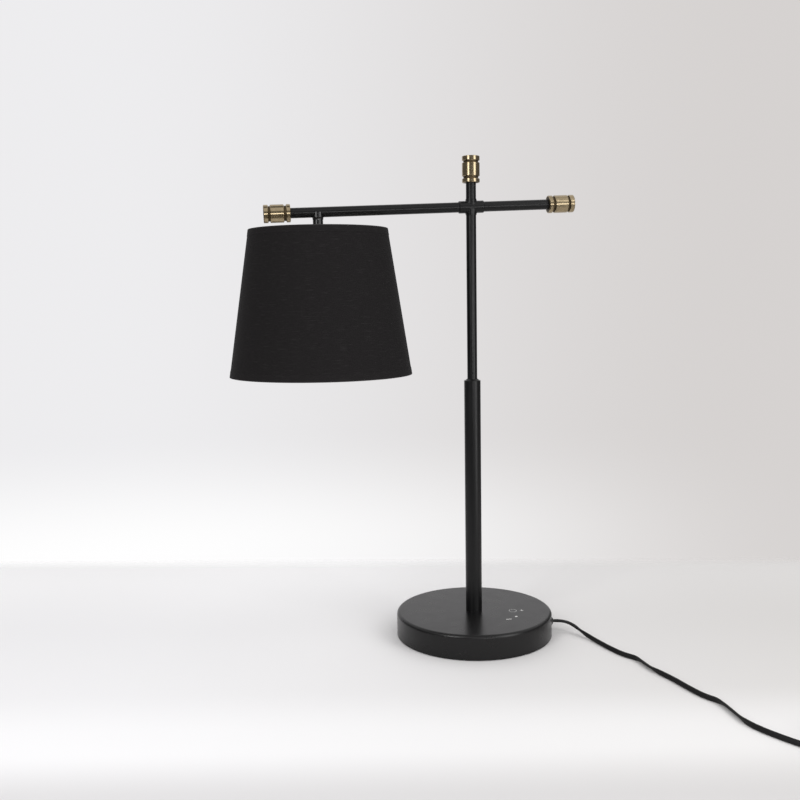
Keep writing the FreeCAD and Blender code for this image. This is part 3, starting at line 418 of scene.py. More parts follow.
# %% Carry the section along the route
CORD_THICK = 3.1 * MM
SECTION_POINTS = 20
NECK_SHARE = 0.52      # half height of the groove between the cores, against a core's radius
NECK_REACH = 0.75      # the groove's half width, against the distance from the middle to a core
ROLL_AT = [            # distance from the base, degrees
    (0.0, 0), (0.025, 8), (0.060, 100), (0.128, 118), (0.150, 32), (0.165, 34), (0.190, 112),
    (0.258, 118), (0.280, 44), (0.306, 42), (0.332, 112), (0.385, 116), (0.440, 180), (10.0, 180),
]


def section():
    core = CORD_THICK / 2
    middle = (CORD_WIDTH - CORD_THICK) / 2
    out = []
    for k in range(SECTION_POINTS):
        a = math.tau * (k + 0.5) / SECTION_POINTS
        x = math.cos(a) * core + (middle if math.cos(a) > 0 else -middle)
        y = math.sin(a) * core
        if abs(x) < middle * NECK_REACH:
            y = math.copysign(core * NECK_SHARE, y)
        out.append((x, y))
    return out


def roll_at(distance):
    for (d0, r0), (d1, r1) in zip(ROLL_AT, ROLL_AT[1:]):
        if distance <= d1:
            t = (distance - d0) / (d1 - d0)
            return math.radians(r0 + (r1 - r0) * t * t * (3 - 2 * t))
    return 0.0


def flat_cord(name, line):
    """A tube with the flat cord's section along a line of points."""
    ring = section()
    verts = []
    walked = 0.0
    for k, p in enumerate(line):
        ahead = line[min(k + 1, len(line) - 1)] - line[max(k - 1, 0)]
        ahead.normalize()
        side = ahead.cross(Vector((0, 0, 1))).normalized()
        up = side.cross(ahead).normalized()
        if k:
            walked += (p - line[k - 1]).length
        roll = roll_at(walked)
        across = side * math.cos(roll) + up * math.sin(roll)
        over = up * math.cos(roll) - side * math.sin(roll)
        for x, y in ring:
            verts.append(p + across * x + over * y)
    n = len(ring)
    faces = []
    for k in range(len(line) - 1):
        for i in range(n):
            j = (i + 1) % n
            faces.append((k * n + i, k * n + j, (k + 1) * n + j, (k + 1) * n + i))
    faces.append(tuple(reversed(range(n))))
    faces.append(tuple((len(line) - 1) * n + i for i in range(n)))
    mesh = bpy.data.meshes.new(name)
    mesh.from_pydata(verts, [], faces)
    piece = bpy.data.objects.new(name, mesh)
    bpy.context.scene.collection.objects.link(piece)
    only(piece)
    bpy.ops.object.mode_set(mode="EDIT")
    bpy.ops.mesh.select_all(action="SELECT")
    bpy.ops.mesh.normals_make_consistent(inside=False)
    bpy.ops.object.mode_set(mode="OBJECT")
    return smooth(piece, angle=50)


cord = flat_cord("flex", cord_line)
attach(cord, "stand")
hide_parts("mains_cord", "cord_coil", "plug_lead")

# %% [markdown]
# ## Black powder coat
#
# Powder coat is a dull black with a very fine orange peel. The peel is a small bump from noise, and
# the shine is broken a little by a second, larger noise so that the highlights don't look like
# plastic.

# %% Powder coat and lacquer
MARK_INK = (0.80, 0.79, 0.77)
MARK_EDGE = 0.15 * MM
MINUS_AT, MINUS_SIZE = (33.0 * MM, -44.4 * MM), (6.5 * MM, 1.5 * MM)
DOT_AT, DOT_R = (44.3 * MM, -36.5 * MM), 1.6 * MM
PLUS_AT, PLUS_LONG, PLUS_LINE = (57.1 * MM, -15.3 * MM), 4.4 * MM, 0.7 * MM
RING_AT, RING_R, RING_LINE = (45.8 * MM, -14.8 * MM), 4.6 * MM, 0.35 * MM
RING_GAP = 3.0 * MM
MARKS_FROM, MARKS_TO = 0.5 * MM, 0.1 * MM      # below the cover's top, so that only the top is printed
PEEL_DEPTH = 0.03 * MM
GRAIN_LIGHTENS = 1.3


def touch_marks(finish):
    """The printed marks of the dimmer, as a mask: a minus, a dot, a plus and an open ring with a bar."""
    x, y, z = finish.split(finish.place)

    def within(distance, half):
        return 1.0 - distance.step(half - MARK_EDGE, half + MARK_EDGE)

    def bar(at, size):
        return within((x - at[0]).absolute(), size[0] / 2) * within((y - at[1]).absolute(), size[1] / 2)

    def distance_to(at):
        dx, dy = x - at[0], y - at[1]
        return (dx * dx + dy * dy).root()

    minus = bar(MINUS_AT, MINUS_SIZE)
    dot = within(distance_to(DOT_AT), DOT_R)
    plus = bar(PLUS_AT, (PLUS_LONG, PLUS_LINE)).larger(bar(PLUS_AT, (PLUS_LINE, PLUS_LONG)))
    ring_top = (RING_AT[0], RING_AT[1] + RING_R)
    ring = within((distance_to(RING_AT) - RING_R).absolute(), RING_LINE / 2)
    ring = ring * (1.0 - bar(ring_top, (RING_GAP, RING_GAP)))
    ring = ring.larger(bar(ring_top, (RING_LINE, RING_GAP)))
    cover_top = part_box("base_cover")[1].z
    on_top = z.step(cover_top - MARKS_FROM, cover_top - MARKS_TO)
    return minus.larger(dot).larger(plus).larger(ring) * on_top


def powder_coat(name, colour, shine, peel=1.0, marks=False, gloss=0.5):
    finish = Finish(name)
    cloud = finish.noise(scale=55.0, detail=3.0)
    grain = finish.noise(scale=2600.0, detail=2.0)
    orange_peel = finish.noise(scale=900.0, detail=2.0)
    base = finish.mix(grain.step(0.35, 0.7), colour, tuple(c * GRAIN_LIGHTENS for c in colour))
    if marks:
        base = finish.mix(touch_marks(finish), base, MARK_INK)
    rough = shine + (cloud - 0.5) * 0.12
    height = orange_peel + grain * 0.4
    return finish.done(Base_Color=base, Roughness=rough, Specular_IOR_Level=gloss,
                       Normal=finish.bump(height, depth=PEEL_DEPTH * peel, strength=0.3))


black_satin = powder_coat("black powder coat", (0.0034, 0.0034, 0.0036), shine=0.31, gloss=0.26)
black_base = powder_coat("black base coat", (0.0030, 0.0028, 0.0029), shine=0.29, peel=1.3,
                         marks=True, gloss=0.31)
black_gloss = powder_coat("black lacquer", (0.006, 0.006, 0.0062), shine=0.2, peel=0.5)
for name in ("lower_tube", "gland_cap", "upper_tube", "cross_fitting", "front_arm_tube",
             "rear_arm_tube", "stem_foot"):
    wear(name, black_satin)
wear("base_cover", black_base)
wear("drop_stem", black_gloss)
print("coats:", ", ".join(coat.name for coat in (black_satin, black_base, black_gloss)))

# %% [markdown]
# ## Antique brass
#
# The three knobs are turned on a lathe, darkened, and rubbed bright again on their open faces. The
# patina stays in the grooves. The distance from the knob's axis finds them, and a noise that changes
# along the axis and away from it, but not round it, leaves the fine rings of the lathe.

# %% Brass for a knob
KNOB_R = 10.5 * MM
GROOVE_FROM, GROOVE_TO = KNOB_R - 1.5 * MM, KNOB_R - 0.6 * MM
ARM_DROOP = math.radians(1.8)
BRASS_DULL = (0.320, 0.252, 0.152)
BRASS_BRIGHT = (0.400, 0.326, 0.212)
BRASS_AGED = (0.145, 0.108, 0.062)
BRASS_PATINA = (0.035, 0.024, 0.012)
LATHE_CELLS = (3000.0, 9000.0)       # noise cells for each metre outwards, and along the axis


def knob_axis(name):
    """The middle of a knob, and the turn that lays +Z along its axis."""
    low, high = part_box(name)
    size = high - low
    middle = (low + high) / 2
    if size.z > size.x:
        return middle, (0.0, 0.0, 0.0)
    return middle, (0.0, math.pi / 2 - ARM_DROOP, 0.0)


def antique_brass(name, node):
    finish = Finish(name)
    middle, turned = knob_axis(node)
    x, y, z = finish.split(finish.moved(at=tuple(middle), turn=turned))
    radius = (x * x + y * y).root()
    groove = 1.0 - radius.step(GROOVE_FROM, GROOVE_TO)
    lathe_way = finish.join(0.0, radius * LATHE_CELLS[0], z * LATHE_CELLS[1])
    rings = finish.noise(scale=1.0, detail=2.0, place=lathe_way)
    blotch = finish.noise(scale=160.0, detail=4.0, roughness=0.6)
    bright = finish.mix(rings, BRASS_DULL, BRASS_BRIGHT)
    aged = finish.mix(blotch.step(0.35, 0.75) * 0.3, bright, BRASS_AGED)
    colour = finish.mix(groove * 0.85, aged, BRASS_PATINA)
    rough = 0.15 + rings * 0.05 + groove * 0.35 + blotch * 0.04
    return finish.done(Base_Color=colour, Metallic=1.0, Roughness=rough)


for name in ("front_knob", "counterweight_knob", "top_knob"):
    wear(name, antique_brass(f"antique brass {name}", name))
    print(name, "lies at", [round(v, 4) for v in knob_axis(name)[0]])

# %% [markdown]
# ## The shade
#
# The shade is black fabric glued to a stiff white card, rolled over a wire ring at the top and the
# bottom. A cone with many sides is the start. Its rings are cut in where the turned edges end, the
# edges are pushed out by the thickness of a second layer, and a wall is given to it last, so that
# the inside is a face of its own for the card.

# %% Fabric shade
SHADE_SIDES = 192
SHADE_WALL = 1.0 * MM
HEM_WIDTH = 8.0 * MM
HEM_PROUD = 0.3 * MM
# width of the painted highlight along the shade's rims
RIM_HIGHLIGHT_BAND = 1.2 * MM
SEAM_FROM = math.radians(90.0)       # the cloth's overlap, at the back
SEAM_TO = math.radians(99.4)
SEAM_PROUD = 0.45 * MM
SEAM_EASE = 0.01                     # keeps the seam's own row of vertices inside the test
SHADE_TOP_R = 81.3 * MM
SHADE_ROWS = 12
STEP_RISE = 0.4 * MM                 # height of the slope between the wall and a turned edge
STEP_MIDDLE = 0.3 * MM
shade_low, shade_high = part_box("shade_skin")
shade_x = (shade_low.x + shade_high.x) / 2
shade_h = shade_high.z - shade_low.z
shade_bottom_r = (shade_high.x - shade_low.x) / 2 - HEM_PROUD
hem_low = shade_low.z + HEM_WIDTH
hem_high = shade_high.z - HEM_WIDTH


def shade_radius(z):
    return SHADE_TOP_R + (shade_bottom_r - SHADE_TOP_R) * (shade_high.z - z) / shade_h


deselect()
shade_middle = (shade_x, 0, (shade_low.z + shade_high.z) / 2)
bpy.ops.mesh.primitive_cone_add(vertices=SHADE_SIDES, radius1=shade_bottom_r, radius2=SHADE_TOP_R,
                                depth=shade_h, end_fill_type="NOTHING", location=shade_middle)
shade = settle(bpy.context.object)
shade.name = "fabric_shade"
cuts = [hem_low, hem_low - STEP_RISE, hem_high, hem_high + STEP_RISE]
cuts += [shade_low.z + shade_h * k / SHADE_ROWS for k in range(1, SHADE_ROWS)]
for z in cuts:
    only(shade)
    bpy.ops.object.mode_set(mode="EDIT")
    bpy.ops.mesh.select_all(action="SELECT")
    bpy.ops.mesh.bisect(plane_co=(0, 0, z), plane_no=(0, 0, 1))
    bpy.ops.object.mode_set(mode="OBJECT")
for vertex in shade.data.vertices:
    z = vertex.co.z
    on_hem = z > hem_high + STEP_MIDDLE or z < hem_low - STEP_MIDDLE
    r = shade_radius(z) + (HEM_PROUD if on_hem else 0.0)
    angle = math.atan2(vertex.co.y, vertex.co.x - shade_x)
    if SEAM_FROM - SEAM_EASE < angle < SEAM_TO:
        r += SEAM_PROUD * (SEAM_TO - angle) / (SEAM_TO - SEAM_FROM)
    vertex.co = Vector((shade_x + math.cos(angle) * r, math.sin(angle) * r, z))

only(shade)
solidify = shade.modifiers.new("wall", "SOLIDIFY")
solidify.thickness = SHADE_WALL
solidify.offset = -1.0
apply_modifiers(shade)
smooth(shade, angle=30)
print("shade has", len(shade.data.polygons), "faces")

# %% [markdown]
# The cloth is a dull black weave. Three noises, stretched round the shade or up it, stand for the
# weft, the warp and the thick slubs in the weft. The turned edges are a little paler. A thin painted
# highlight along the top and bottom rims stands for the light that the rolled edges catch, and a
# painted shadow line lies beside the overlap at the back.

# %% Cloth and card
CLOTH_DARK = (0.0080, 0.0072, 0.0075)
CLOTH_LIGHT = (0.0145, 0.0132, 0.0136)
CLOTH_SLUB = (0.024, 0.0225, 0.023)
CLOTH_HEM = (0.020, 0.0185, 0.019)
# painted shadow beside the overlap's edge
CLOTH_SEAM_SHADOW = (0.002, 0.002, 0.002)
# painted highlight on the rolled rims
CLOTH_RIM_HIGHLIGHT = (0.05, 0.047, 0.047)
CLOTH_DEPTH = 0.18 * MM
HEM_SOFT = 0.1 * MM
# where the painted shadow line lies
SEAM_SHADOW_AT = SEAM_FROM - 0.004     # the dark line beside the overlap, in radians
# noise cells for each radian round the shade, and for each metre up it
WEFT_CELLS = (16.0, 2600.0)
SLUB_CELLS = (6.0, 900.0)
WARP_CELLS = (1200.0, 60.0)


def slub_fabric(name):
    """Black linen-like weave with long slubs round the shade."""
    finish = Finish(name)
    x, y, z = finish.split(finish.moved(at=(shade_x, 0, 0)))
    angle = finish.node("ShaderNodeMath", {"operation": "ARCTAN2"}, {0: y, 1: x})

    def woven(cells, layer, detail, roughness):
        way = finish.join(angle * cells[0], layer, z * cells[1])
        return finish.noise(scale=1.0, detail=detail, roughness=roughness, place=way)

    weft = woven(WEFT_CELLS, layer=0.0, detail=3.0, roughness=0.6)
    slub = woven(SLUB_CELLS, layer=3.0, detail=2.0, roughness=0.5)
    warp = woven(WARP_CELLS, layer=7.0, detail=2.0, roughness=0.5)
    thread = weft * 0.6 + warp * 0.4
    low, high = shade_low.z, shade_high.z
    hem = z.step(hem_high - HEM_SOFT, hem_high + HEM_SOFT)
    hem = hem.larger(1.0 - z.step(hem_low - HEM_SOFT, hem_low + HEM_SOFT))
    # painted highlight: a paler band at the top and bottom rims, where the rolled edges catch the light
    edge = z.step(high - RIM_HIGHLIGHT_BAND, high).larger(1.0 - z.step(low, low + RIM_HIGHLIGHT_BAND))
    # painted shadow: a dark line beside the overlap's edge, where its step casts shade
    seam_shadow = 1.0 - (angle - SEAM_SHADOW_AT).absolute().step(0.002, 0.006)
    colour = finish.mix(thread.step(0.3, 0.7), CLOTH_DARK, CLOTH_LIGHT)
    colour = finish.mix(slub.step(0.56, 0.72) * 0.5, colour, CLOTH_SLUB)
    colour = finish.mix(hem * 0.10, colour, CLOTH_HEM)
    colour = finish.mix(seam_shadow * 0.8, colour, CLOTH_SEAM_SHADOW)
    colour = finish.mix(edge * 0.8, colour, CLOTH_RIM_HIGHLIGHT)
    height = thread + slub.step(0.5, 0.75) * 0.8
    return finish.done(Base_Color=colour, Roughness=0.9, Specular_IOR_Level=0.11, Sheen_Weight=0.03,
                       Sheen_Roughness=0.3, Normal=finish.bump(height, CLOTH_DEPTH, strength=0.7))


def card_lining(name):
    finish = Finish(name)
    fibre = finish.noise(scale=420.0, detail=4.0, roughness=0.6)
    colour = finish.mix(fibre, (0.66, 0.64, 0.60), (0.74, 0.72, 0.68))
    bumps = finish.bump(fibre, depth=0.03 * MM, strength=0.4)
    return finish.done(Base_Color=colour, Roughness=0.6, Normal=bumps)

# %% [markdown]
# The faces that look towards the axis are the card, and all others are the cloth.

# %% Dress the shade
wear(shade, slub_fabric("black slub fabric"))
shade.data.materials.append(card_lining("white card"))
for face in shade.data.polygons:
    outwards = Vector((face.center.x - shade_x, face.center.y, 0)).normalized()
    face.material_index = 1 if face.normal.dot(outwards) < -0.5 else 0
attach(shade, "mast")
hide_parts("shade_skin")

# %% [markdown]
# ## The slack of the lead
#
# The thin tube slides down inside the wide one, so the lead below it needs spare length that can
# fold up. It is a soft wave up the tube: a curve with a round bevel, turned into a mesh. A
# straight rod would run through the lead above it.

# %% Slack lead
WAVE_OUT = 3.4 * MM          # how far the wave's control points stand off the axis
WAVE_POINTS = 12
WAVE_ENDS = 2                # control points on the axis at each end, so that the ends stand upright
slack_low, slack_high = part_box("lead_slack")
slack_r = (slack_high.x - slack_low.x) / 2
slack_long = slack_high.z - slack_low.z
slack_curve = bpy.data.curves.new("slack_lead", "CURVE")
slack_curve.dimensions = "3D"
slack_curve.resolution_u = 8
slack_curve.bevel_depth = slack_r
slack_curve.bevel_resolution = 4
slack_curve.use_fill_caps = True
spline = slack_curve.splines.new("NURBS")
last = WAVE_POINTS + 2 * WAVE_ENDS - 1
spline.points.add(last)
for k, point in enumerate(spline.points):
    on_axis = k < WAVE_ENDS or k > last - WAVE_ENDS
    off = 0.0 if on_axis else WAVE_OUT * (-1) ** k
    point.co = (off, 0.0, slack_low.z + slack_long * k / last, 1.0)
spline.order_u = 3
spline.use_endpoint_u = True
slack_lead = bpy.data.objects.new("slack_lead", slack_curve)
bpy.context.scene.collection.objects.link(slack_lead)
only(slack_lead)
bpy.ops.object.convert(target="MESH")
slack_lead = smooth(bpy.context.object, angle=40)
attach(slack_lead, "stand")
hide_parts("lead_slack")
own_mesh(slack_lead)
xs = [v.co.x for v in slack_lead.data.vertices]
zs = [v.co.z for v in slack_lead.data.vertices]
print("slack lead", [round(v, 4) for v in (min(xs), max(xs), min(zs), max(zs))])

# %% [markdown]
# ## Plain finishes for what is seen less
#
# The pieces under the base, in the stem and inside the shade are seen only from other sides. Each
# still gets the surface it has on a real lamp.

# %% Metals, plastics, rubber and glass
TONE_SPREAD = 1.18
FINE_GRAIN = 0.03 * MM


def plated_steel(name, colour=(0.55, 0.56, 0.58), shine=0.3):
    finish = Finish(name)
    cloud = finish.noise(scale=300.0, detail=4.0, roughness=0.6)
    brushed_way = finish.moved(scale=(0.0003, 0.004, 0.0003))
    scratch = finish.noise(scale=1.0, detail=2.0, place=brushed_way)
    tone = finish.mix(cloud.step(0.3, 0.7), colour, tuple(c * TONE_SPREAD for c in colour))
    bumps = finish.bump(scratch, depth=0.01 * MM, strength=0.3)
    return finish.done(Base_Color=tone, Metallic=1.0, Roughness=shine + scratch * 0.15, Normal=bumps)


def moulded(name, colour, rough=0.45, grain=FINE_GRAIN, gloss=0.5):
    finish = Finish(name)
    fine = finish.noise(scale=1500.0, detail=2.0)
    cloud = finish.noise(scale=80.0, detail=3.0)
    tone = finish.mix(cloud.step(0.3, 0.7), colour, tuple(min(1.0, c * 1.2) for c in colour))
    return finish.done(Base_Color=tone, Roughness=rough + (fine - 0.5) * 0.1,
                       Specular_IOR_Level=gloss, Normal=finish.bump(fine, grain, strength=0.5))


def cast_iron(name):
    finish = Finish(name)
    sand = finish.noise(scale=700.0, detail=5.0, roughness=0.7)
    tone = finish.mix(sand, (0.03, 0.028, 0.027), (0.075, 0.068, 0.062))
    bumps = finish.bump(sand, depth=0.3 * MM, strength=0.8)
    return finish.done(Base_Color=tone, Metallic=0.6, Roughness=0.75, Normal=bumps)


def opal_glass(name):
    finish = Finish(name)
    cloud = finish.noise(scale=60.0, detail=2.0)
    tone = finish.mix(cloud, (0.80, 0.80, 0.78), (0.86, 0.86, 0.84))
    return finish.done(Base_Color=tone, Roughness=0.18, Coat_Weight=0.6, Subsurface_Weight=0.2)


# %% [markdown]
# Each finish is made once and worn by every piece that has it on the real lamp: zinc for fasteners,
# nylon for bushes and housings, and one black sleeve for all the leads.

# %% Wear the finishes
zinc = plated_steel("zinc plate")
for name in ("base_plate", "plate_screws", "cord_clamp", "clamp_screws", "stem_nipple",
             "stem_washer", "stem_nut", "knob_studs", "guide_clips"):
    wear(name, zinc)
wear("plug_pins", plated_steel("nickel plate", (0.62, 0.60, 0.56), 0.18))
wear("bulb_cap", plated_steel("bulb cap", (0.7, 0.7, 0.7), 0.25))
wear("touch_electrode", plated_steel("electrode brass", (0.6, 0.45, 0.2), 0.3))
wear("base_weight", cast_iron("cast iron"))
wear("base_pad", moulded("foam pad", (0.02, 0.02, 0.02), rough=0.95, grain=0.2 * MM))
nylon = moulded("natural nylon", (0.62, 0.60, 0.54), 0.5)
for name in ("dimmer_module", "terminal_block", "friction_bush", "guide_bush"):
    wear(name, nylon)
sleeve = moulded("black sleeve", (0.012, 0.012, 0.012), 0.45)
for name in ("dimmer_lead", "lead_base", "lead_arm", "cord_tail"):
    wear(name, sleeve)
wear(slack_lead, sleeve)
flex_skin = moulded("black flex", (0.0035, 0.0034, 0.0035), 0.5, gloss=0.25)
wear(cord, flex_skin)
wear("cord_grommet", moulded("black rubber", (0.012, 0.012, 0.012), 0.6))
wear("plug_body", moulded("black plug plastic", (0.014, 0.014, 0.014), 0.4))
holder_black = moulded("black holder plastic", (0.015, 0.015, 0.015), 0.32)
for name in ("holder_cap", "holder_body", "shade_clamp_ring"):
    wear(name, holder_black)
wire_coat = powder_coat("wire lacquer", (0.02, 0.02, 0.02), shine=0.4)
for name in ("shade_spider", "shade_top_ring", "shade_bottom_ring"):
    wear(name, wire_coat)
wear("bulb_globe", opal_glass("opal glass"))

# %% [markdown]
# ## The studio
#
# The lamp stands on a pale table whose far edge is out of focus, in front of a pale wall. The table
# is one plane that fades out at its edges, and the wall is the world's own colour.

# %% Table
TABLE_FAR = 0.321       # from the stem to the table's far edge, away from the camera
TABLE_SLANT = 0.039     # how much nearer that edge comes for each metre to the right
TABLE_NEAR = 0.700      # from the stem to its near edge, below the picture
TABLE_SIDE = 1.200      # from the stem to its left and right edges
TABLE_FADE = 0.030      # how softly the far edge ends
TABLE_SOFT = 0.150      # how softly the other edges end
TABLE_PLANE = 8.0       # side of the plane that carries it
TABLE_PAST = 0.150      # the plane runs on behind the faded edge
TABLE_UNDER = 0.2 * MM  # it lies a hair under what stands on it
# painted light: the table is lighter and bluer on the left, where the lights fall, and darker on the
# right
TONE_LIT_LEFT = (0.83, 0.825, 0.835)
TONE_SHADED_RIGHT = (0.64, 0.625, 0.61)
TONE_CLOUD = (0.82, 0.81, 0.82)
# painted glow: the table's far part is paler, most on the left
TONE_FAR_GLOW = (0.99, 0.985, 0.99)
# painted light: a paler band across the table in front of the base
TONE_LIGHT_BAND = (0.98, 0.98, 0.985)
# painted shade: a darker band across the table nearer the camera
TONE_NEAR_SHADE = (0.56, 0.55, 0.55)
LIGHT_BAND_AT = -0.285        # a paler band in front of the base, from the stem
NEAR_SHADE_AT = -0.430        # and a darker one nearer still
LIGHT_FALLOFF_SIDE = (-0.45, 0.5)      # from the left tone to the right one
LIT_LEFT_HALF = (-0.35, 0.35)
GLOW_RUN = (0.0, 0.28)          # the far part gets paler
GLOW_SHARE, GLOW_LEFT_MORE = 0.18, 0.46
CLOUD_SHARE = 0.1
LIGHT_BAND_SOFT, LIGHT_BAND_SHARE = (0.01, 0.12), 0.34
NEAR_SHADE_SOFT, NEAR_SHADE_SHARE = (0.02, 0.12), 0.6
look = Vector((math.sin(CAMERA_YAW), math.cos(CAMERA_YAW), 0))
across = Vector((math.cos(CAMERA_YAW), -math.sin(CAMERA_YAW), 0))
deselect()
bpy.ops.mesh.primitive_plane_add(size=1.0, location=(0, 0, 0))
table = bpy.context.object
table.name = "table"
table.scale = (TABLE_PLANE, TABLE_PLANE, 1.0)
table.rotation_euler = (0, 0, -CAMERA_YAW)
table.location = look * (TABLE_FAR + TABLE_PAST - TABLE_PLANE / 2) + Vector((0, 0, -TABLE_UNDER))
settle(table)


def table_finish():
    """Pale, with painted light: bluer and lighter on the left, a glow far off, and bands of painted light
    and shade.
    """
    finish = Finish("pale table")
    x, y, z = finish.split(finish.place)
    far = x * look.x + y * look.y
    side = x * across.x + y * across.y
    cloud = finish.noise(scale=1.3, detail=2.0)
    lit_leftness = 1.0 - side.step(*LIT_LEFT_HALF)
    glow = far.step(*GLOW_RUN) * (GLOW_SHARE + lit_leftness * GLOW_LEFT_MORE)
    light_band = 1.0 - (far - LIGHT_BAND_AT).absolute().step(*LIGHT_BAND_SOFT)
    near_shade = 1.0 - (far - NEAR_SHADE_AT).absolute().step(*NEAR_SHADE_SOFT)
    # painted falloff of light, from the lit left tone to the shaded right one
    tone = finish.mix(side.step(*LIGHT_FALLOFF_SIDE), TONE_LIT_LEFT, TONE_SHADED_RIGHT)
    tone = finish.mix(cloud * CLOUD_SHARE, tone, TONE_CLOUD)
    # painted glow of light over the table's far part
    tone = finish.mix(glow, tone, TONE_FAR_GLOW)
    # painted band of light across the table
    tone = finish.mix(light_band * LIGHT_BAND_SHARE, tone, TONE_LIGHT_BAND)
    # painted shade across the near part of the table
    tone = finish.mix(near_shade * NEAR_SHADE_SHARE, tone, TONE_NEAR_SHADE)
    edge = far + side * TABLE_SLANT
    fade = 1.0 - edge.step(TABLE_FAR - TABLE_FADE, TABLE_FAR + TABLE_FADE)
    fade = fade * far.step(-TABLE_NEAR, TABLE_SOFT - TABLE_NEAR)
    fade = fade * (1.0 - side.absolute().step(TABLE_SIDE - TABLE_SOFT, TABLE_SIDE))
    return finish.done(Base_Color=tone, Roughness=0.7, Specular_IOR_Level=0.2, Alpha=fade)


wear(table, table_finish())
print("table reaches", TABLE_FAR, "m behind the stem and", TABLE_NEAR, "m in front of it")

# %% [markdown]
# The room is mostly dim, with a bright wall behind the lamp and a bright ceiling with a dark
# middle, so that the table is lit from above while the upright pieces stay dark. The world's shader
# looks at the direction alone. What lights the lamp is worked out apart from what the camera sees:
# a wall that falls off from left to right, glows just over the table's far edge, and takes the
# table's tone below it, so that other views don't end in a bright void.

# %% Tones and edges of the room
UP = Vector((0, 0, 1))


def sines(*degrees):
    """A direction's share along a way, for each angle above the plane across that way."""
    return [math.sin(math.radians(d)) for d in degrees]


# what lights the lamp
DIM_ROOM = (0.19, 0.188, 0.19)
BRIGHT_WALL = (0.80, 0.79, 0.80)
WALL_AHEAD = (0.0, 0.2)
WALL_LEFT_EDGE = sines(34, 60)
WALL_RIGHT_EDGE = sines(13, 28)
WALL_TOP_EDGE = (0.5, 0.7)
CEILING = (0.98, 0.976, 0.98)
CEILING_EDGE = sines(20, 36)
CEILING_HOLE = sines(70, 84)
# what the camera sees
WALL_LEFT = (0.85, 0.845, 0.86)
WALL_RIGHT = (0.67, 0.645, 0.635)
WALL_GLOW = (1.0, 0.998, 1.0)
FLOOR_LEFT = (0.86, 0.855, 0.865)
FLOOR_RIGHT = (0.78, 0.77, 0.765)
TO_RIGHT = (-0.30, 0.36)
GLOW_DOWN = (0.13, 0.25)
GLOW_LEFT = (-0.45, 0.30)
FLOOR_DOWN = (0.285, 0.36)
print("the wall's bright part ends at sines", [round(v, 2) for v in WALL_LEFT_EDGE + WALL_RIGHT_EDGE])

# %% [markdown]
# The world's shader is built from the direction's share along a way, eased between two edges.
# Multiplied shares make a patch, and each patch mixes its tone over the last.

# %% The world's shader
world = bpy.data.worlds.new("studio")
bpy.context.scene.world = world
world.use_nodes = True
tree = world.node_tree
tree.nodes.clear()


def world_node(kind, settings=None, inputs=None):
    made = tree.nodes.new(kind)
    for key, value in (settings or {}).items():
        setattr(made, key, value)
    for key, value in (inputs or {}).items():
        if isinstance(value, bpy.types.NodeSocket):
            tree.links.new(value, made.inputs[key])
        else:
            made.inputs[key].default_value = value
    return made


def facing(way, low, high):
    """How far the direction that is looked in lies along a way, eased from low to high."""
    direction = world_node("ShaderNodeTexCoord").outputs["Generated"]
    dot = world_node("ShaderNodeVectorMath", {"operation": "DOT_PRODUCT"}, {0: direction, 1: tuple(way)})
    inputs = {0: dot.outputs["Value"], 1: low, 2: high}
    return world_node("ShaderNodeMapRange", SMOOTH_RAMP, inputs).outputs[0]


def world_mix(share, low, high):
    made = world_node("ShaderNodeMix", {"data_type": "RGBA"}, {0: share})
    for slot, value in ((6, low), (7, high)):
        if isinstance(value, bpy.types.NodeSocket):
            tree.links.new(value, made.inputs[slot])
        else:
            made.inputs[slot].default_value = (*value, 1.0)
    return made.outputs[2]


def product(*shares):
    """All the shares multiplied."""
    whole = shares[0]
    for share in shares[1:]:
        whole = world_node("ShaderNodeMath", {"operation": "MULTIPLY"}, {0: whole, 1: share}).outputs[0]
    return whole


def inside(way, low, high):
    """1 where the direction lies little along a way, 0 beyond."""
    inputs = {0: 1.0, 1: facing(way, low, high)}
    return world_node("ShaderNodeMath", {"operation": "SUBTRACT"}, inputs).outputs[0]


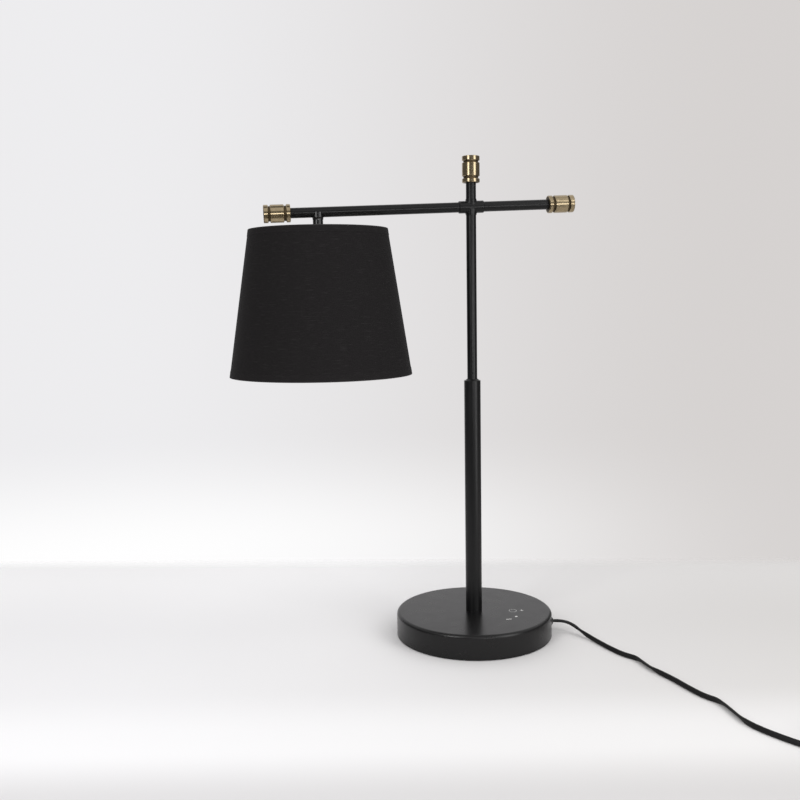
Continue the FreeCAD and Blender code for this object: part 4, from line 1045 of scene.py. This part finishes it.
behind = product(facing(look, *WALL_AHEAD), inside(across, *WALL_RIGHT_EDGE),
                 inside(-across, *WALL_LEFT_EDGE), inside(UP, *WALL_TOP_EDGE))
above = product(facing(UP, *CEILING_EDGE), inside(UP, *CEILING_HOLE))
lit_colour = world_mix(above, DIM_ROOM, CEILING)
lit_colour = world_mix(behind, lit_colour, BRIGHT_WALL)
seen_colour = world_mix(facing(across, *TO_RIGHT), WALL_LEFT, WALL_RIGHT)
glow = product(facing(-UP, *GLOW_DOWN), facing(-across, *GLOW_LEFT))
seen_colour = world_mix(glow, seen_colour, WALL_GLOW)
floor_colour = world_mix(facing(across, *TO_RIGHT), FLOOR_LEFT, FLOOR_RIGHT)
seen_colour = world_mix(facing(-UP, *FLOOR_DOWN), seen_colour, floor_colour)
lit = world_node("ShaderNodeBackground", inputs={"Color": lit_colour, "Strength": 1.0})
seen = world_node("ShaderNodeBackground", inputs={"Color": seen_colour, "Strength": 1.0})
camera_ray = world_node("ShaderNodeLightPath").outputs["Is Camera Ray"]
mixed = world_node("ShaderNodeMixShader", inputs={0: camera_ray, 1: lit.outputs[0], 2: seen.outputs[0]})
world_node("ShaderNodeOutputWorld", inputs={"Surface": mixed.outputs[0]})
print("world has", len(tree.nodes), "nodes")

# %% [markdown]
# ## Lights
#
# Two tall softboxes stand either side of the camera. They make the two pale streaks down the knobs
# and the tubes, so their angle and width are read from those streaks. A long low strip in front
# puts the streak along the arm and lights the base's wall. The table gets its light from the
# ceiling of the world.

# %% Lights
SOFTBOX_AWAY = 1.7


def area_light(name, place, aim, width, height, watts):
    data = bpy.data.lights.new(name, "AREA")
    data.shape = "RECTANGLE"
    data.size = width
    data.size_y = height
    data.energy = watts
    light = bpy.data.objects.new(name, data)
    light.location = place
    light.rotation_euler = (Vector(aim) - Vector(place)).to_track_quat("-Z", "Y").to_euler()
    bpy.context.scene.collection.objects.link(light)
    print(name, "at", [round(v, 2) for v in place], watts, "W")


def beside_camera(degrees, height):
    """A place round the lamp, in degrees to the right of the camera."""
    a = math.radians(degrees)
    place = (across * math.sin(a) - look * math.cos(a)) * SOFTBOX_AWAY
    return Vector((place.x, place.y, height))


LAMP_MIDDLE = (0, 0, 0.4)
area_light("left softbox", beside_camera(-36, 1.1), LAMP_MIDDLE, width=0.55, height=1.3, watts=11.5)
area_light("right softbox", beside_camera(48, 0.68), LAMP_MIDDLE, width=0.75, height=2.15, watts=17.5)
area_light("front strip", (0.22, -1.7, 0.38), (0.22, 0, 0.5), width=1.10, height=0.26, watts=5.0)
bpy.context.scene.view_settings.view_transform = "Standard"
